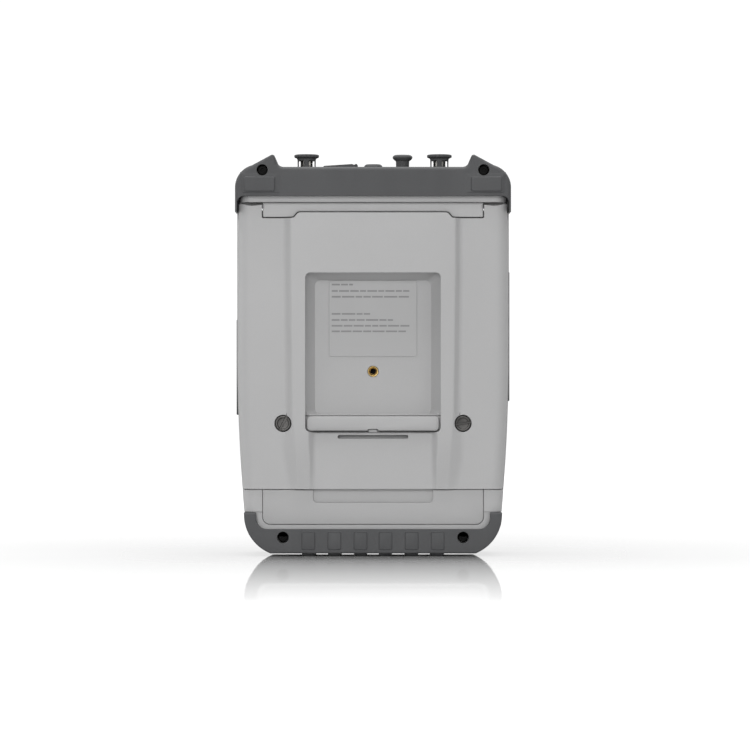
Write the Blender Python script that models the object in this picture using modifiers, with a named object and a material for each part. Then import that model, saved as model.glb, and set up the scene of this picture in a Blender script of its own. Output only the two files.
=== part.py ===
"""Handheld vector network analyzer, standing upright on its bottom bumper.

Metres, +Z up. The screen and keys face -Y, the folding stand is on the +Y side, and
the origin is on the table under the middle of the instrument.
"""

import math

import bmesh
import bpy
from mathutils import Matrix, Vector

# ---------------------------------------------------------------- driving dimensions
GAP = 0.0003              # air between two pieces that touch
WALL = 0.0025             # housing wall

HALF_WIDTH = 0.0983       # half width of the housing above TAPER_START
TAPER = 0.0084            # how far each side draws in towards the table
TAPER_START = 0.150
FRONT = -0.031            # outer face of the front housing
REAR = 0.0275             # outer face of the rear housing beside the stand
PARTING = 0.0             # plane where the two housings meet
BODY_BOTTOM = 0.006
BODY_TOP = 0.277
LOW_CORNER = 0.026
TOP_CORNER = 0.016
EDGE = 0.008              # rounding between the faces and the sides
UNDER_BUMPER = 0.0022     # how far the housings step in under the bumpers
STEP_LOW = 0.0317         # heights between which the housings have their full width
STEP_HIGH = 0.2477

BUMPER_FRONT = -0.035
BUMPER_REAR = 0.033
BUMPER_HALF = 0.0994
TOP_EDGE = 0.2803         # flat rim between the two horns
HORN_TOP = 0.289
HORN_X = 0.0725
HORN_TIP = 0.002          # radii of a horn's tip, of its foot and of the shoulder outside it
HORN_FOOT = 0.0047
SHOULDER = 0.0165
SHOULDER_Z = 0.2655
RIM_Z = 0.2594            # lower edge of the top bumper on the rear
SHOE_ROUND = 0.030         # round lower corners of the bottom bumper
FOOT_HEIGHT = 0.002
FEET_X = (-0.0465, -0.0278, -0.009, 0.009, 0.0278, 0.0465)
FOOT_WIDTH = 0.0094

PANEL = 0.0295            # outer face of the stand's side fields
CREST = 0.035             # outer face of the stand's raised middle
STAND_SKIN = 0.0028
STAND_BOTTOM = 0.0482
STAND_TOP = 0.2536
STAND_INSET = 0.0008      # the stand's sides behind the housing's sides
FLANGE_Y = 0.0174         # where the stand's side flanges end
HINGE_Y = 0.0265
HINGE_Z = 0.2496
RAIL_TOP_X = 0.0595       # outer edge of the raised middle at the top, window foot and bottom
RAIL_MID_X = 0.0583
RAIL_LOW_X = 0.0545
RAIL_INNER_X = 0.0455
WINDOW_HALF = 0.0487
WINDOW_LOW = 0.0893
WINDOW_HIGH = 0.2040
SLOT_Z = 0.0859
SLOT_HALF = 0.0253
SLOT_HEIGHT = 0.0026
EAR_OUT = 0.0793
EAR_LOW = 0.2441
BAR_LOW = 0.2480
BAR_HIGH = 0.2546
BAR_REAR = 0.0302
PLATEAU_TOP = 0.2473

FLOOR_Y = 0.017           # floor of the recess behind the window
FLOOR_LOW = 0.1020
FLOOR_HIGH = 0.1990
FLOOR_HALF = 0.0420
INSERT_Z = 0.1330
LABEL = (0.0317, 0.1438, 0.1986)     # half width, low and high edge

COVER_HALF = 0.0795
COVER_LOW = 0.0228
COVER_HIGH = 0.1008
COVER_FACE = 0.0275
BAY_FLOOR = 0.0050
SHELF_Y = 0.0232          # ledge that the battery cover rests on
COIN_X = 0.0648
COIN_Z = 0.0955
COIN_RADIUS = 0.0059
GRIP_HALF = 0.0432
GRIP_LOW = 0.0385

SCREW_HOLE = 0.0041
TOP_SCREW = (0.0797, 0.2780)
LOW_SCREW = (0.0648, 0.0135)
SCREW_SEAT = 0.0245       # plane that the housing screws' heads press on
TOWER_X = (0.0741, 0.0836)           # blocks in the horns that take the top screws
TOWER_TOP = 0.2806
TOWER_FRONT = -0.0270
BOSS_RADIUS = 0.0054      # around the two bottom screws in the front housing

PORT_X = 0.0483           # test port connectors
PORT_Y = 0.002
BNC_X = -0.0215
WELL_HALF = 0.0640
WELL_FRONT = -0.0200
WELL_REAR = 0.0220
PANEL_TOP = 0.2685

GLASS_HALF = 0.0740
GLASS_LOW = 0.1590
GLASS_HIGH = 0.2640
KEY_FACE = -0.0330
KEY_FLANGE = 0.0010       # how far a key's hidden flange stands out round its cap

# ---------------------------------------------------------------- the keys' layout
KNOB_X = -0.0470
KNOB_Z = 0.0990
KNOB_RADIUS = 0.0170


def key_layout():
    """Every key as (name, x, z, width, height, corner radius)."""
    for i in range(6):
        yield f"softkey_{i + 1}", -0.0600 + 0.0240 * i, 0.1460, 0.0190, 0.0075, 0.0018
    rows = (("7", "8", "9"), ("4", "5", "6"), ("1", "2", "3"), ("0", "point", "sign"))
    for r, row in enumerate(rows):
        for c, word in enumerate(row):
            yield f"key_{word}", 0.0260 + 0.0220 * c, 0.1220 - 0.0180 * r, 0.0160, 0.0105, 0.0022
    yield "power_key", -0.0680, 0.0430, 0.0140, 0.0090, 0.0030


KEYS = list(key_layout())

# ---------------------------------------------------------------- scene and materials
for old in list(bpy.data.objects):
    bpy.data.objects.remove(old, do_unlink=True)

PARTS = bpy.data.collections.new("vector_network_analyzer")
CUTTERS = bpy.data.collections.new("cutters")
bpy.context.scene.collection.children.link(PARTS)
bpy.context.scene.collection.children.link(CUTTERS)


def finish(name, colour, roughness, metallic=0.0):
    """A Principled material of one colour."""
    material = bpy.data.materials.new(name)
    material.use_nodes = True
    shader = material.node_tree.nodes["Principled BSDF"]
    shader.inputs["Base Color"].default_value = (*colour, 1.0)
    shader.inputs["Roughness"].default_value = roughness
    shader.inputs["Metallic"].default_value = metallic
    return material


LIGHT = finish("light_plastic", (0.42, 0.42, 0.425), 0.55)
DARK = finish("dark_plastic", (0.085, 0.087, 0.09), 0.6)
RUBBER = finish("black_rubber", (0.03, 0.03, 0.032), 0.75)
BRASS = finish("brass", (0.62, 0.42, 0.15), 0.3, 1.0)
STEEL = finish("steel", (0.28, 0.28, 0.29), 0.35, 1.0)
CHROME = finish("chrome", (0.72, 0.72, 0.74), 0.15, 1.0)
BOARD = finish("circuit_board", (0.02, 0.16, 0.06), 0.5)
GLASS = finish("display_glass", (0.01, 0.012, 0.015), 0.08)
LABEL_FILM = finish("label_film", (0.46, 0.46, 0.46), 0.5)
KEY_GREY = finish("key_plastic", (0.30, 0.30, 0.31), 0.6)


# ---------------------------------------------------------------- modelling helpers
def half_width(z):
    """Half width of the housing at a height: straight above, drawing in below."""
    below = max(0.0, TAPER_START - z) / TAPER_START
    return HALF_WIDTH - TAPER * below ** 2


def arc(centre, radius, start, end, steps):
    """Points along a round corner, from one angle to another in degrees."""
    turns = [math.radians(start + (end - start) * i / steps) for i in range(steps + 1)]
    return [(centre[0] + radius * math.cos(t), centre[1] + radius * math.sin(t)) for t in turns]


def mirrored(right):
    """Closes an outline that is given up its +X side."""
    return right + [(-x, z) for x, z in reversed(right)]


def rounded(x0, x1, z0, z1, radius, steps=3):
    """A rectangle with round corners."""
    corners = ((x1, z0, -90), (x1, z1, 0), (x0, z1, 90), (x0, z0, 180))
    points = []
    for x, z, start in corners:
        middle_x = x - math.copysign(radius, x - (x0 + x1) / 2)
        middle_z = z - math.copysign(radius, z - (z0 + z1) / 2)
        points += arc((middle_x, middle_z), radius, start, start + 90, steps)
    return points


def link(obj, material):
    """Puts an object among the parts, or among the cutters where it has no material."""
    home = PARTS if material else CUTTERS
    home.objects.link(obj)
    if material:
        obj.data.materials.clear()
        obj.data.materials.append(material)
        obj.data.shade_smooth()
        obj.data.set_sharp_from_angle(angle=math.radians(32))
    else:
        obj.hide_render = True
        obj.display_type = "WIRE"
    return obj


def from_bmesh(name, shape, material):
    """Turns a bmesh into a linked object with its faces pointing out."""
    bmesh.ops.recalc_face_normals(shape, faces=shape.faces)
    mesh = bpy.data.meshes.new(name)
    shape.to_mesh(mesh)
    shape.free()
    return link(bpy.data.objects.new(name, mesh), material)


def prism(name, outline, y0, y1, material=None, rim=0.0, rim_steps=3, side=0):
    """An outline in the XZ plane run from y0 to y1, with its rims rounded on request.

    side picks the rims: 0 both, -1 only the one at y0, 1 only the one at y1.
    """
    curve = bpy.data.curves.new(name, "CURVE")
    curve.dimensions = "2D"
    curve.fill_mode = "BOTH"
    curve.extrude = (y1 - y0) / 2
    spline = curve.splines.new("POLY")
    spline.points.add(len(outline) - 1)
    for point, (x, z) in zip(spline.points, outline):
        point.co = (x, z, 0, 1)
    spline.use_cyclic_u = True
    guide = bpy.data.objects.new(name + "_outline", curve)
    CUTTERS.objects.link(guide)
    bpy.context.view_layer.update()
    graph = bpy.context.evaluated_depsgraph_get()
    mesh = bpy.data.meshes.new_from_object(guide.evaluated_get(graph))
    bpy.data.objects.remove(guide)
    shape = bmesh.new()
    shape.from_mesh(mesh)
    bpy.data.meshes.remove(mesh)
    bmesh.ops.remove_doubles(shape, verts=shape.verts, dist=1e-6)
    upright = Matrix.Translation((0, (y0 + y1) / 2, 0)) @ Matrix.Rotation(math.pi / 2, 4, "X")
    bmesh.ops.transform(shape, matrix=upright, verts=shape.verts)
    bmesh.ops.dissolve_limit(shape, angle_limit=0.002, verts=shape.verts, edges=shape.edges)
    if rim:
        chosen = [y for y, sign in ((y0, -1), (y1, 1)) if side in (0, sign)]
        edges = [
            edge for edge in shape.edges
            if any(all(abs(v.co.y - y) < 1e-6 for v in edge.verts) for y in chosen)
        ]
        bmesh.ops.bevel(
            shape, geom=edges, offset=rim, offset_type="OFFSET", segments=rim_steps,
            profile=0.5, affect="EDGES", clamp_overlap=True,
        )
    return from_bmesh(name, shape, material)


def block(name, xs, ys, zs, material=None, bevel=0.0):
    """A box between two corners, with its edges taken off on request."""
    shape = bmesh.new()
    size = Matrix.Diagonal((xs[1] - xs[0], ys[1] - ys[0], zs[1] - zs[0], 1))
    middle = Vector((sum(xs) / 2, sum(ys) / 2, sum(zs) / 2))
    bmesh.ops.create_cube(shape, size=1, matrix=Matrix.Translation(middle) @ size)
    if bevel:
        bmesh.ops.bevel(
            shape, geom=shape.edges[:], offset=bevel, offset_type="OFFSET", segments=1,
            profile=0.5, affect="EDGES", clamp_overlap=True,
        )
    return from_bmesh(name, shape, material)


def rod(name, start, end, radius, material=None, steps=16):
    """A round bar from one point to another."""
    start = Vector(start)
    end = Vector(end)
    shape = bmesh.new()
    bmesh.ops.create_cone(
        shape, cap_ends=True, segments=steps, radius1=radius, radius2=radius,
        depth=(end - start).length,
    )
    turn = Vector((0, 0, 1)).rotation_difference(end - start).to_matrix().to_4x4()
    place = Matrix.Translation((start + end) / 2) @ turn
    bmesh.ops.transform(shape, matrix=place, verts=shape.verts)
    return from_bmesh(name, shape, material)


def turned(name, profile, place, material, steps=24):
    """A lathe shape about a vertical axis: profile points (radius, height), top to bottom outside."""
    shape = bmesh.new()
    points = [shape.verts.new((radius, 0, z)) for radius, z in profile]
    for first, second in zip(points, points[1:]):
        shape.edges.new((first, second))
    mesh = bpy.data.meshes.new(name)
    shape.to_mesh(mesh)
    shape.free()
    obj = bpy.data.objects.new(name, mesh)
    screw = obj.modifiers.new("Turn", "SCREW")
    screw.axis = "Z"
    screw.steps = steps
    screw.render_steps = steps
    screw.use_merge_vertices = True
    screw.merge_threshold = 0.00001
    screw.use_smooth_shade = True
    obj.location = place
    return link(obj, material)


def combine(target, other, operation="DIFFERENCE"):
    """Cuts, joins or intersects the target with another shape."""
    modifier = target.modifiers.new(other.name, "BOOLEAN")
    modifier.operation = operation
    modifier.solver = "EXACT"
    modifier.object = other
    return target


def cut(target, *others):
    """Cuts each of the other shapes out of the target."""
    for other in others:
        combine(target, other)
    return target


def join(target, *others):
    """Joins each of the other shapes onto the target."""
    for other in others:
        combine(target, other, "UNION")
    return target


def pivot(obj, point):
    """Moves the object's origin to a point of its joint's axis."""
    obj.data.transform(Matrix.Translation(-Vector(point)))
    obj.location = point
    return obj


# ---------------------------------------------------------------- the housings' form
def body_outline(inset, low=BODY_BOTTOM, high=BODY_TOP):
    """The housing seen from the rear, with its sides drawn in by an inset."""
    low_middle = (half_width(low + LOW_CORNER) - inset - LOW_CORNER, low + LOW_CORNER)
    top_middle = (HALF_WIDTH - inset - TOP_CORNER, high - TOP_CORNER)
    sides = [(half_width(z) - inset, z) for z in (0.060, 0.095, TAPER_START)]
    right = arc(low_middle, LOW_CORNER, -90, 0, 5) + sides + arc(top_middle, TOP_CORNER, 0, 90, 4)
    return mirrored(right)


def envelope(name, material):
    """Outer form of both housings: full width between the bumpers, stepped in beneath them."""
    core = prism(name, body_outline(UNDER_BUMPER), FRONT + GAP, REAR - GAP, material, EDGE)
    full = prism(name + "_full", body_outline(0, -0.01, 0.30), FRONT, REAR, None, EDGE)
    band = block(name + "_band", (-0.11, 0.11), (FRONT - 0.01, REAR + 0.01), (STEP_LOW, STEP_HIGH))
    combine(full, band, "INTERSECT")
    join(core, full)
    for word, sign in (("right", 1), ("left", -1)):
        xs = sorted((sign * TOWER_X[0], sign * TOWER_X[1]))
        ys = (TOWER_FRONT, SCREW_SEAT)
        join(core, block(f"{name}_tower_{word}", xs, ys, (0.262, TOWER_TOP), None, 0.0012))
    return core


def screw_places():
    """Names and centres of the four long housing screws, seen from the rear."""
    for row, (x, z) in (("top", TOP_SCREW), ("bottom", LOW_SCREW)):
        for word, sign in (("right", 1), ("left", -1)):
            yield f"{row}_{word}", sign * x, z


DOORS = (
    # name, side, low edge, high edge
    ("right_port_door", 1, 0.1015, 0.1705),
    ("left_port_door", -1, 0.1115, 0.2050),
)
DOOR_FRONT = -0.0170
DOOR_REAR = 0.0130
DOOR_INNER = 0.0958
DOOR_OUTER = 0.0989

SOCKETS = (
    # name, side, height, width along y, height of the mouth
    ("audio_jack", 1, 0.1360, 0.0070, 0.0070),
    ("lan_socket", -1, 0.1760, 0.0160, 0.0140),
    ("dc_inlet", -1, 0.1360, 0.0090, 0.0090),
)
SOCKET_Y = -0.0055
SOCKET_WALL = 0.0010


def side_pockets(housing, tag):
    """Cuts the doors' seats and the sockets' mouths into a housing."""
    for name, sign, low, high in DOORS:
        xs = sorted((sign * (DOOR_INNER - GAP), sign * 0.11))
        ys = (DOOR_FRONT - GAP, DOOR_REAR + GAP)
        cut(housing, block(f"{name}_seat_{tag}", xs, ys, (low - GAP, high + GAP)))
    for name, sign, z, width, height in SOCKETS:
        xs = sorted((sign * 0.088, sign * 0.11))
        half = width / 2 + 0.002
        tall = height / 2 + 0.002
        ys = (SOCKET_Y - half, SOCKET_Y + half)
        cut(housing, block(f"{name}_mouth_{tag}", xs, ys, (z - tall, z + tall)))


def well(tag):
    """The opening in the top that the connector panel fills."""
    xs = (-WELL_HALF - GAP, WELL_HALF + GAP)
    return block("well_" + tag, xs, (WELL_FRONT - GAP, WELL_REAR + GAP), (0.2600, 0.31))


def make_front_housing():
    """The screen side of the casing, with its windows for glass, keys and knob."""
    housing = envelope("front_housing", LIGHT)
    cut(housing, block("front_trim", (-0.12, 0.12), (PARTING - GAP / 2, 0.05), (-0.02, 0.32)))
    hollow = prism("front_hollow", body_outline(0.0055, 0.0090, 0.2740), FRONT + WALL, 0.01, None)
    cut(housing, hollow)
    for sign in (1, -1):
        x, z = sign * LOW_SCREW[0], LOW_SCREW[1]
        join(housing, rod(f"front_boss_{sign}", (x, FRONT + 0.006, z), (x, -GAP / 2, z), BOSS_RADIUS))
    for name, x, z in screw_places():
        cut(housing, rod(f"front_pilot_{name}", (x, -0.022, z), (x, 0.01, z), 0.0019))
    cut(housing, well("front"))
    seat = rounded(-GLASS_HALF - GAP, GLASS_HALF + GAP, GLASS_LOW - GAP, GLASS_HIGH + GAP, 0.004)
    cut(housing, prism("glass_seat", seat, FRONT - 0.01, FRONT + 0.0015))
    view = rounded(-0.0665, 0.0665, GLASS_LOW + 0.006, GLASS_HIGH - 0.006, 0.002)
    cut(housing, prism("glass_view", view, FRONT - 0.01, FRONT + 0.01))
    for name, x, z, width, height, corner in KEYS:
        hole = rounded(
            x - width / 2 - GAP, x + width / 2 + GAP, z - height / 2 - GAP, z + height / 2 + GAP,
            corner + GAP, 2,
        )
        cut(housing, prism(name + "_hole", hole, FRONT - 0.01, FRONT + 0.01))
    ends = (KNOB_X, FRONT - 0.01, KNOB_Z), (KNOB_X, FRONT + 0.01, KNOB_Z)
    cut(housing, rod("knob_hole", *ends, 0.0042))
    side_pockets(housing, "front")


def recess():
    """The sloping pocket behind the stand's window."""
    mouth = rounded(-WINDOW_HALF, WINDOW_HALF, FLOOR_LOW, WINDOW_HIGH, 0.004, 3)
    floor = rounded(-FLOOR_HALF, FLOOR_HALF, FLOOR_LOW, FLOOR_HIGH, 0.004, 3)
    shape = bmesh.new()
    rings = [
        [shape.verts.new((x, y, z)) for x, z in outline]
        for y, outline in ((REAR + 0.001, mouth), (0.0262, mouth), (FLOOR_Y, floor))
    ]
    close_loft(shape, rings)
    return from_bmesh("recess", shape, None)


def close_loft(shape, rings):
    """Skins a stack of equal rings of vertices and caps its two ends."""
    count = len(rings[0])
    for lower, upper in zip(rings, rings[1:]):
        for i in range(count):
            j = (i + 1) % count
            shape.faces.new((lower[i], lower[j], upper[j], upper[i]))
    shape.faces.new(rings[0])
    shape.faces.new(rings[-1])


def make_rear_housing():
    """The stand side of the casing: recess, battery bay, hinge trough and screw bosses."""
    housing = envelope("rear_housing", LIGHT)
    cut(housing, block("rear_trim", (-0.12, 0.12), (-0.05, PARTING + GAP / 2), (-0.02, 0.32)))
    rebate = block("stand_rebate", (-0.11, 0.11), (FLANGE_Y - 0.0004, 0.05), (0.0477, 0.2549))
    kept = prism("stand_core", body_outline(0.0046, -0.01, 0.30), -0.05, 0.0262, None, 0.005)
    cut(rebate, kept)
    cut(housing, rebate)
    cut(housing, block("hinge_trough", (-0.11, 0.11), (0.0175, 0.05), (0.2425, 0.2549)))
    upper = prism("rear_hollow", rounded(-0.0915, 0.0915, 0.1045, 0.2735, 0.006), -0.01, 0.0142)
    cut(housing, upper)
    flanks = prism("flank_hollow", rounded(-0.0870, 0.0870, 0.1080, 0.2380, 0.004), 0.010, 0.0234)
    cut(flanks, block("recess_keep", (-0.0525, 0.0525), (0.0, 0.03), (0.100, 0.2080)))
    cut(housing, flanks)
    lower = prism("board_hollow", rounded(-0.0850, 0.0850, 0.0225, 0.1060, 0.006), -0.01, 0.0022)
    cut(housing, lower)
    cut(housing, recess())
    bay = rounded(
        -COVER_HALF - GAP, COVER_HALF + GAP, COVER_LOW - GAP, COVER_HIGH + GAP, 0.0053 + GAP
    )
    cut(housing, prism("cover_seat", bay, SHELF_Y, 0.05))
    cut(housing, block("battery_bay", (-0.0760, 0.0760), (BAY_FLOOR, 0.03), (0.0262, 0.0882)))
    for sign in (1, -1):
        x = sign * COIN_X
        cut(housing, rod(f"coin_bore_{sign}", (x, 0.012, COIN_Z), (x, 0.03, COIN_Z), 0.0027))
    for name, x, z in screw_places():
        bore = rod(f"rear_bore_{name}", (x, SCREW_SEAT - 0.0002, z), (x, 0.05, z), SCREW_HOLE)
        cut(housing, join(bore, rod(f"rear_shank_{name}", (x, -0.01, z), (x, 0.03, z), 0.0021)))
    join(housing, rod("insert_boss", (0, 0.0064, INSERT_Z), (0, 0.0160, INSERT_Z), 0.0064))
    cut(housing, rod("insert_bore", (0, 0.0072, INSERT_Z), (0, 0.03, INSERT_Z), 0.0040))
    cut(housing, well("rear"))
    side_pockets(housing, "rear")


# ---------------------------------------------------------------- bumpers
def top_outline():
    """The top bumper from the rear: flat rim, two horns and long skirts."""
    right = [(BUMPER_HALF, STEP_HIGH + GAP)]
    right += arc((BUMPER_HALF - SHOULDER, SHOULDER_Z), SHOULDER, 0, 75, 6)
    right += arc((HORN_X, HORN_TOP - HORN_TIP), HORN_TIP, 60, 140, 3)
    right += [(0.0688, 0.2832)]
    right += arc((0.0645, TOP_EDGE + HORN_FOOT), HORN_FOOT, -40, -90, 3)
    return mirrored(right)


def make_top_bumper():
    """Soft guard over the top: covers the corners, leaves the connectors and screen free."""
    bumper = prism("top_bumper", top_outline(), BUMPER_FRONT, BUMPER_REAR, DARK, 0.0030)
    for word, sign in (("right", 1), ("left", -1)):
        xs = sorted((sign * 0.0700, sign * 0.0925))
        pad = block(f"screw_pad_{word}", xs, (0.025, 0.0342), (0.2620, 0.2728), None, 0.0018)
        join(bumper, pad)
    inner = prism(
        "top_bumper_bore", body_outline(UNDER_BUMPER - GAP, -0.02, BODY_TOP + GAP),
        FRONT - GAP, REAR + GAP, None, EDGE,
    )
    cut(bumper, inner)
    for word, sign in (("right", 1), ("left", -1)):
        xs = sorted((sign * (TOWER_X[0] - GAP), sign * (TOWER_X[1] + GAP)))
        ys = (TOWER_FRONT - GAP, SCREW_SEAT + GAP)
        cut(bumper, block(f"tower_bore_{word}", xs, ys, (0.2500, TOWER_TOP + GAP)))
    rear_face = rounded(-0.0980, 0.0980, 0.200, RIM_Z, 0.005)
    cut(bumper, prism("rear_edge", rear_face, 0.0160, 0.05))
    front_face = rounded(-0.0945, 0.0945, 0.200, 0.2680, 0.006)
    cut(bumper, prism("front_edge", front_face, -0.05, FRONT + 0.004))
    well_mouth = rounded(-0.0655, 0.0655, -0.0225, 0.0245, 0.004)
    mouth = prism("well_mouth", well_mouth, -0.31, -0.262, None)
    mouth.data.transform(Matrix.Rotation(-math.pi / 2, 4, "X"))
    cut(bumper, mouth)
    for word, sign in (("right", 1), ("left", -1)):
        x, z = TOP_SCREW
        hole = rod(f"top_hole_{word}", (sign * x, 0.022, z), (sign * x, 0.05, z), SCREW_HOLE)
        cut(bumper, hole)


def bottom_outline():
    """The bottom bumper from the rear, up to its two ends beside the battery cover."""
    middle = (half_width(SHOE_ROUND) - SHOE_ROUND, SHOE_ROUND)
    right = [(middle[0] - 0.006, FOOT_HEIGHT)]
    right += arc(middle, SHOE_ROUND, -69, 0, 6)
    right += [(half_width(STEP_LOW), STEP_LOW - GAP)]
    return mirrored(right)


def make_bottom_bumper():
    """Soft shoe that the instrument stands on, with six feet under it."""
    bumper = prism("bottom_bumper", bottom_outline(), BUMPER_FRONT, BUMPER_REAR, DARK, 0.0035)
    for i, x in enumerate(FEET_X):
        foot = rounded(x - FOOT_WIDTH / 2, x + FOOT_WIDTH / 2, 0.0, 0.0060, 0.0012, 2)
        join(bumper, prism(f"foot_{i}", foot, -0.0280, 0.0270, None, 0.0008, 1))
    inner = prism(
        "bottom_bumper_bore", body_outline(UNDER_BUMPER - GAP, BODY_BOTTOM - GAP, 0.30),
        FRONT - GAP, REAR + GAP, None, EDGE,
    )
    cut(bumper, inner)
    opening = rounded(-0.0842, 0.0842, 0.0195, 0.10, 0.0078, 4)
    cut(bumper, prism("bottom_rear_edge", opening, 0.0150, 0.05))
    front_opening = rounded(-0.0860, 0.0860, 0.0165, 0.10, 0.009, 4)
    cut(bumper, prism("bottom_front_edge", front_opening, -0.05, FRONT + 0.004))
    for word, sign in (("right", 1), ("left", -1)):
        x, z = LOW_SCREW
        hole = rod(f"low_hole_{word}", (sign * x, 0.018, z), (sign * x, 0.05, z), SCREW_HOLE)
        cut(bumper, hole)


# ---------------------------------------------------------------- the folding stand
def between(z, table):
    """Value at a height, by straight lines between (height, value) pairs."""
    for (z0, v0), (z1, v1) in zip(table, table[1:]):
        if z <= z1:
            share = min(1.0, max(0.0, (z - z0) / (z1 - z0)))
            return v0 + (v1 - v0) * share
    return table[-1][1]


# How the raised middle runs up the stand, as (height, value) pairs: its outer edge, the
# width of its outer slope, its outer face, and the face between its rails.
KNEE = 0.1035
RAIL_X = ((STAND_BOTTOM, RAIL_LOW_X), (KNEE, RAIL_MID_X), (WINDOW_HIGH, RAIL_TOP_X))
SLOPE = ((STAND_BOTTOM, 0.0050), (0.060, 0.0070), (0.075, 0.0090), (0.088, 0.0085), (KNEE, 0.0055))
CREST_Y = ((STAND_BOTTOM, 0.0314), (0.060, 0.0330), (0.075, 0.0346), (0.088, CREST))
MIDDLE_Y = ((STAND_BOTTOM, 0.0302), (KNEE, 0.0305), (TAPER_START, CREST))
SIDE_ROUND = 0.0085
STATIONS = (
    STAND_BOTTOM, 0.060, 0.075, 0.088, KNEE, TAPER_START, WINDOW_HIGH, 0.2400, 0.2460, 0.2528,
    STAND_TOP,
)


def stand_side(z, skin):
    """Half of the stand's section from its side flange to the middle, as (x, y)."""
    radius = SIDE_ROUND - skin
    near_hinge = z > 0.243
    first = 22 if near_hinge else 0
    drop = 0.0004 if near_hinge else PANEL - SIDE_ROUND - FLANGE_Y
    middle = (half_width(z) - STAND_INSET - SIDE_ROUND, PANEL - SIDE_ROUND)
    corner = arc(middle, radius, first, 90, 5)
    flange = [(corner[0][0], corner[0][1] - drop)]
    rail = between(z, RAIL_X)
    crest = between(z, CREST_Y) - skin
    step = 0.4 * skin
    foot = (rail + between(z, SLOPE), PANEL - skin)
    rise = [(rail - 0.7 * skin, crest - 0.0008 - step), (rail - 0.0010 - skin, crest)]
    fall = [
        (RAIL_INNER_X + 0.0010 + 0.6 * skin, crest),
        (RAIL_INNER_X + 0.5 * skin, min(crest, between(z, MIDDLE_Y) - skin + 0.0035)),
        (RAIL_INNER_X - 0.0030, between(z, MIDDLE_Y) - skin),
    ]
    return flange + corner + [foot] + rise + fall


def make_stand():
    """One moulding over the whole rear: side fields, two rails and a window, hinged at the top."""
    shape = bmesh.new()
    rings = []
    for z in STATIONS:
        outer = stand_side(z, 0.0)
        inner = stand_side(z, STAND_SKIN)
        far_side = [(-x, y) for x, y in reversed(outer)] + [(-x, y) for x, y in inner]
        loop = outer + far_side + inner[::-1]
        rings.append([shape.verts.new((x, y, z)) for x, y in loop])
    close_loft(shape, rings)
    stand = from_bmesh("stand", shape, LIGHT)
    for word, sign in (("right", 1), ("left", -1)):
        ends = (sign * 0.0803, HINGE_Y, HINGE_Z), (sign * 0.0890, HINGE_Y, HINGE_Z)
        join(stand, rod(f"knuckle_{word}", *ends, 0.0028, None, 16))
    nib_height = (WINDOW_LOW - 0.0012, WINDOW_LOW + 0.0013)
    nib = block("latch_nib", (-0.0031, 0.0031), (0.0282, 0.0300), nib_height)
    window = rounded(-WINDOW_HALF, WINDOW_HALF, WINDOW_LOW, WINDOW_HIGH, 0.0036, 3)
    cut(stand, prism("window", window, 0.0, 0.06))
    join(stand, nib)
    half_slot = SLOT_HEIGHT / 2
    slot = rounded(-SLOT_HALF, SLOT_HALF, SLOT_Z - half_slot, SLOT_Z + half_slot, 0.0012, 2)
    cut(stand, prism("latch_slot", slot, 0.0, 0.06))
    notch = [
        (0.0527, PLATEAU_TOP), (0.0541, 0.2469), (0.0554, 0.2454), (0.0567, 0.2439),
        (0.0586, 0.2434), (0.0790, 0.2434), (0.0800, 0.2444), (0.0800, 0.2700),
    ]
    cut(stand, prism("hinge_notch", mirrored(notch), 0.0, 0.06))
    for word, sign in (("right", 1), ("left", -1)):
        x = sign * COIN_X
        opening = COIN_RADIUS + 0.0007
        cut(stand, rod(f"coin_opening_{word}", (x, 0.0, COIN_Z), (x, 0.06, COIN_Z), opening))
        ends = (sign * 0.0780, HINGE_Y, HINGE_Z), (sign * 0.0872, HINGE_Y, HINGE_Z)
        cut(stand, rod(f"knuckle_bore_{word}", *ends, 0.0018, None, 16))
    pivot(stand, (0, HINGE_Y, HINGE_Z))


def make_hinge():
    """The bar across the top of the rear that the stand's two pins sit in."""
    right = [
        (0.0532, BAR_LOW), (0.0546, 0.2476), (0.0559, 0.2461), (0.0572, 0.2446),
        (0.0590, EAR_LOW), (EAR_OUT - 0.0010, EAR_LOW), (EAR_OUT, EAR_LOW + 0.0010),
        (EAR_OUT, BAR_HIGH),
    ]
    bar = prism("hinge_bar", mirrored(right), 0.0178, BAR_REAR, LIGHT, 0.0024, 3, 1)
    for word, sign in (("right", 1), ("left", -1)):
        ends = (sign * 0.0640, HINGE_Y, HINGE_Z), (sign * 0.0850, HINGE_Y, HINGE_Z)
        cut(bar, rod(f"ear_bore_{word}", *ends, 0.0018, None, 16))
        pin_ends = (sign * 0.0645, HINGE_Y, HINGE_Z), (sign * 0.0868, HINGE_Y, HINGE_Z)
        rod(f"hinge_pin_{word}", *pin_ends, 0.0015, STEEL, 14)


# ---------------------------------------------------------------- battery, cover and fasteners
def make_battery_cover():
    """Lid over the battery bay: a flat plate, a step flush below the stand, and a latch ledge."""
    plate = rounded(-COVER_HALF, COVER_HALF, COVER_LOW, COVER_HIGH, 0.0053)
    cover = prism("battery_cover", plate, SHELF_Y + GAP, COVER_FACE, LIGHT)
    hidden = block("cover_step", (-0.1, 0.1), (0.0260, 0.05), (0.0477, 0.2))
    cut(cover, hidden)
    half = WINDOW_HALF - 0.0011
    ledge = rounded(-half, half, WINDOW_LOW + 0.0008, COVER_HIGH, 0.0030)
    join(cover, prism("cover_ledge", ledge, 0.0250, 0.0305, None, 0.0004, 1, 1))
    notch_height = (0.085, WINDOW_LOW + 0.0021)
    cut(cover, block("latch_notch", (-0.0038, 0.0038), (0.0276, 0.05), notch_height))
    grip = rounded(-GRIP_HALF, GRIP_HALF, GRIP_LOW, 0.0600, 0.0030)
    cut(cover, prism("finger_recess", grip, 0.0250, 0.05))
    for sign in (1, -1):
        x = sign * COIN_X
        cut(cover, rod(f"coin_hole_{sign}", (x, 0.0, COIN_Z), (x, 0.06, COIN_Z), 0.0027))


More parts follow.
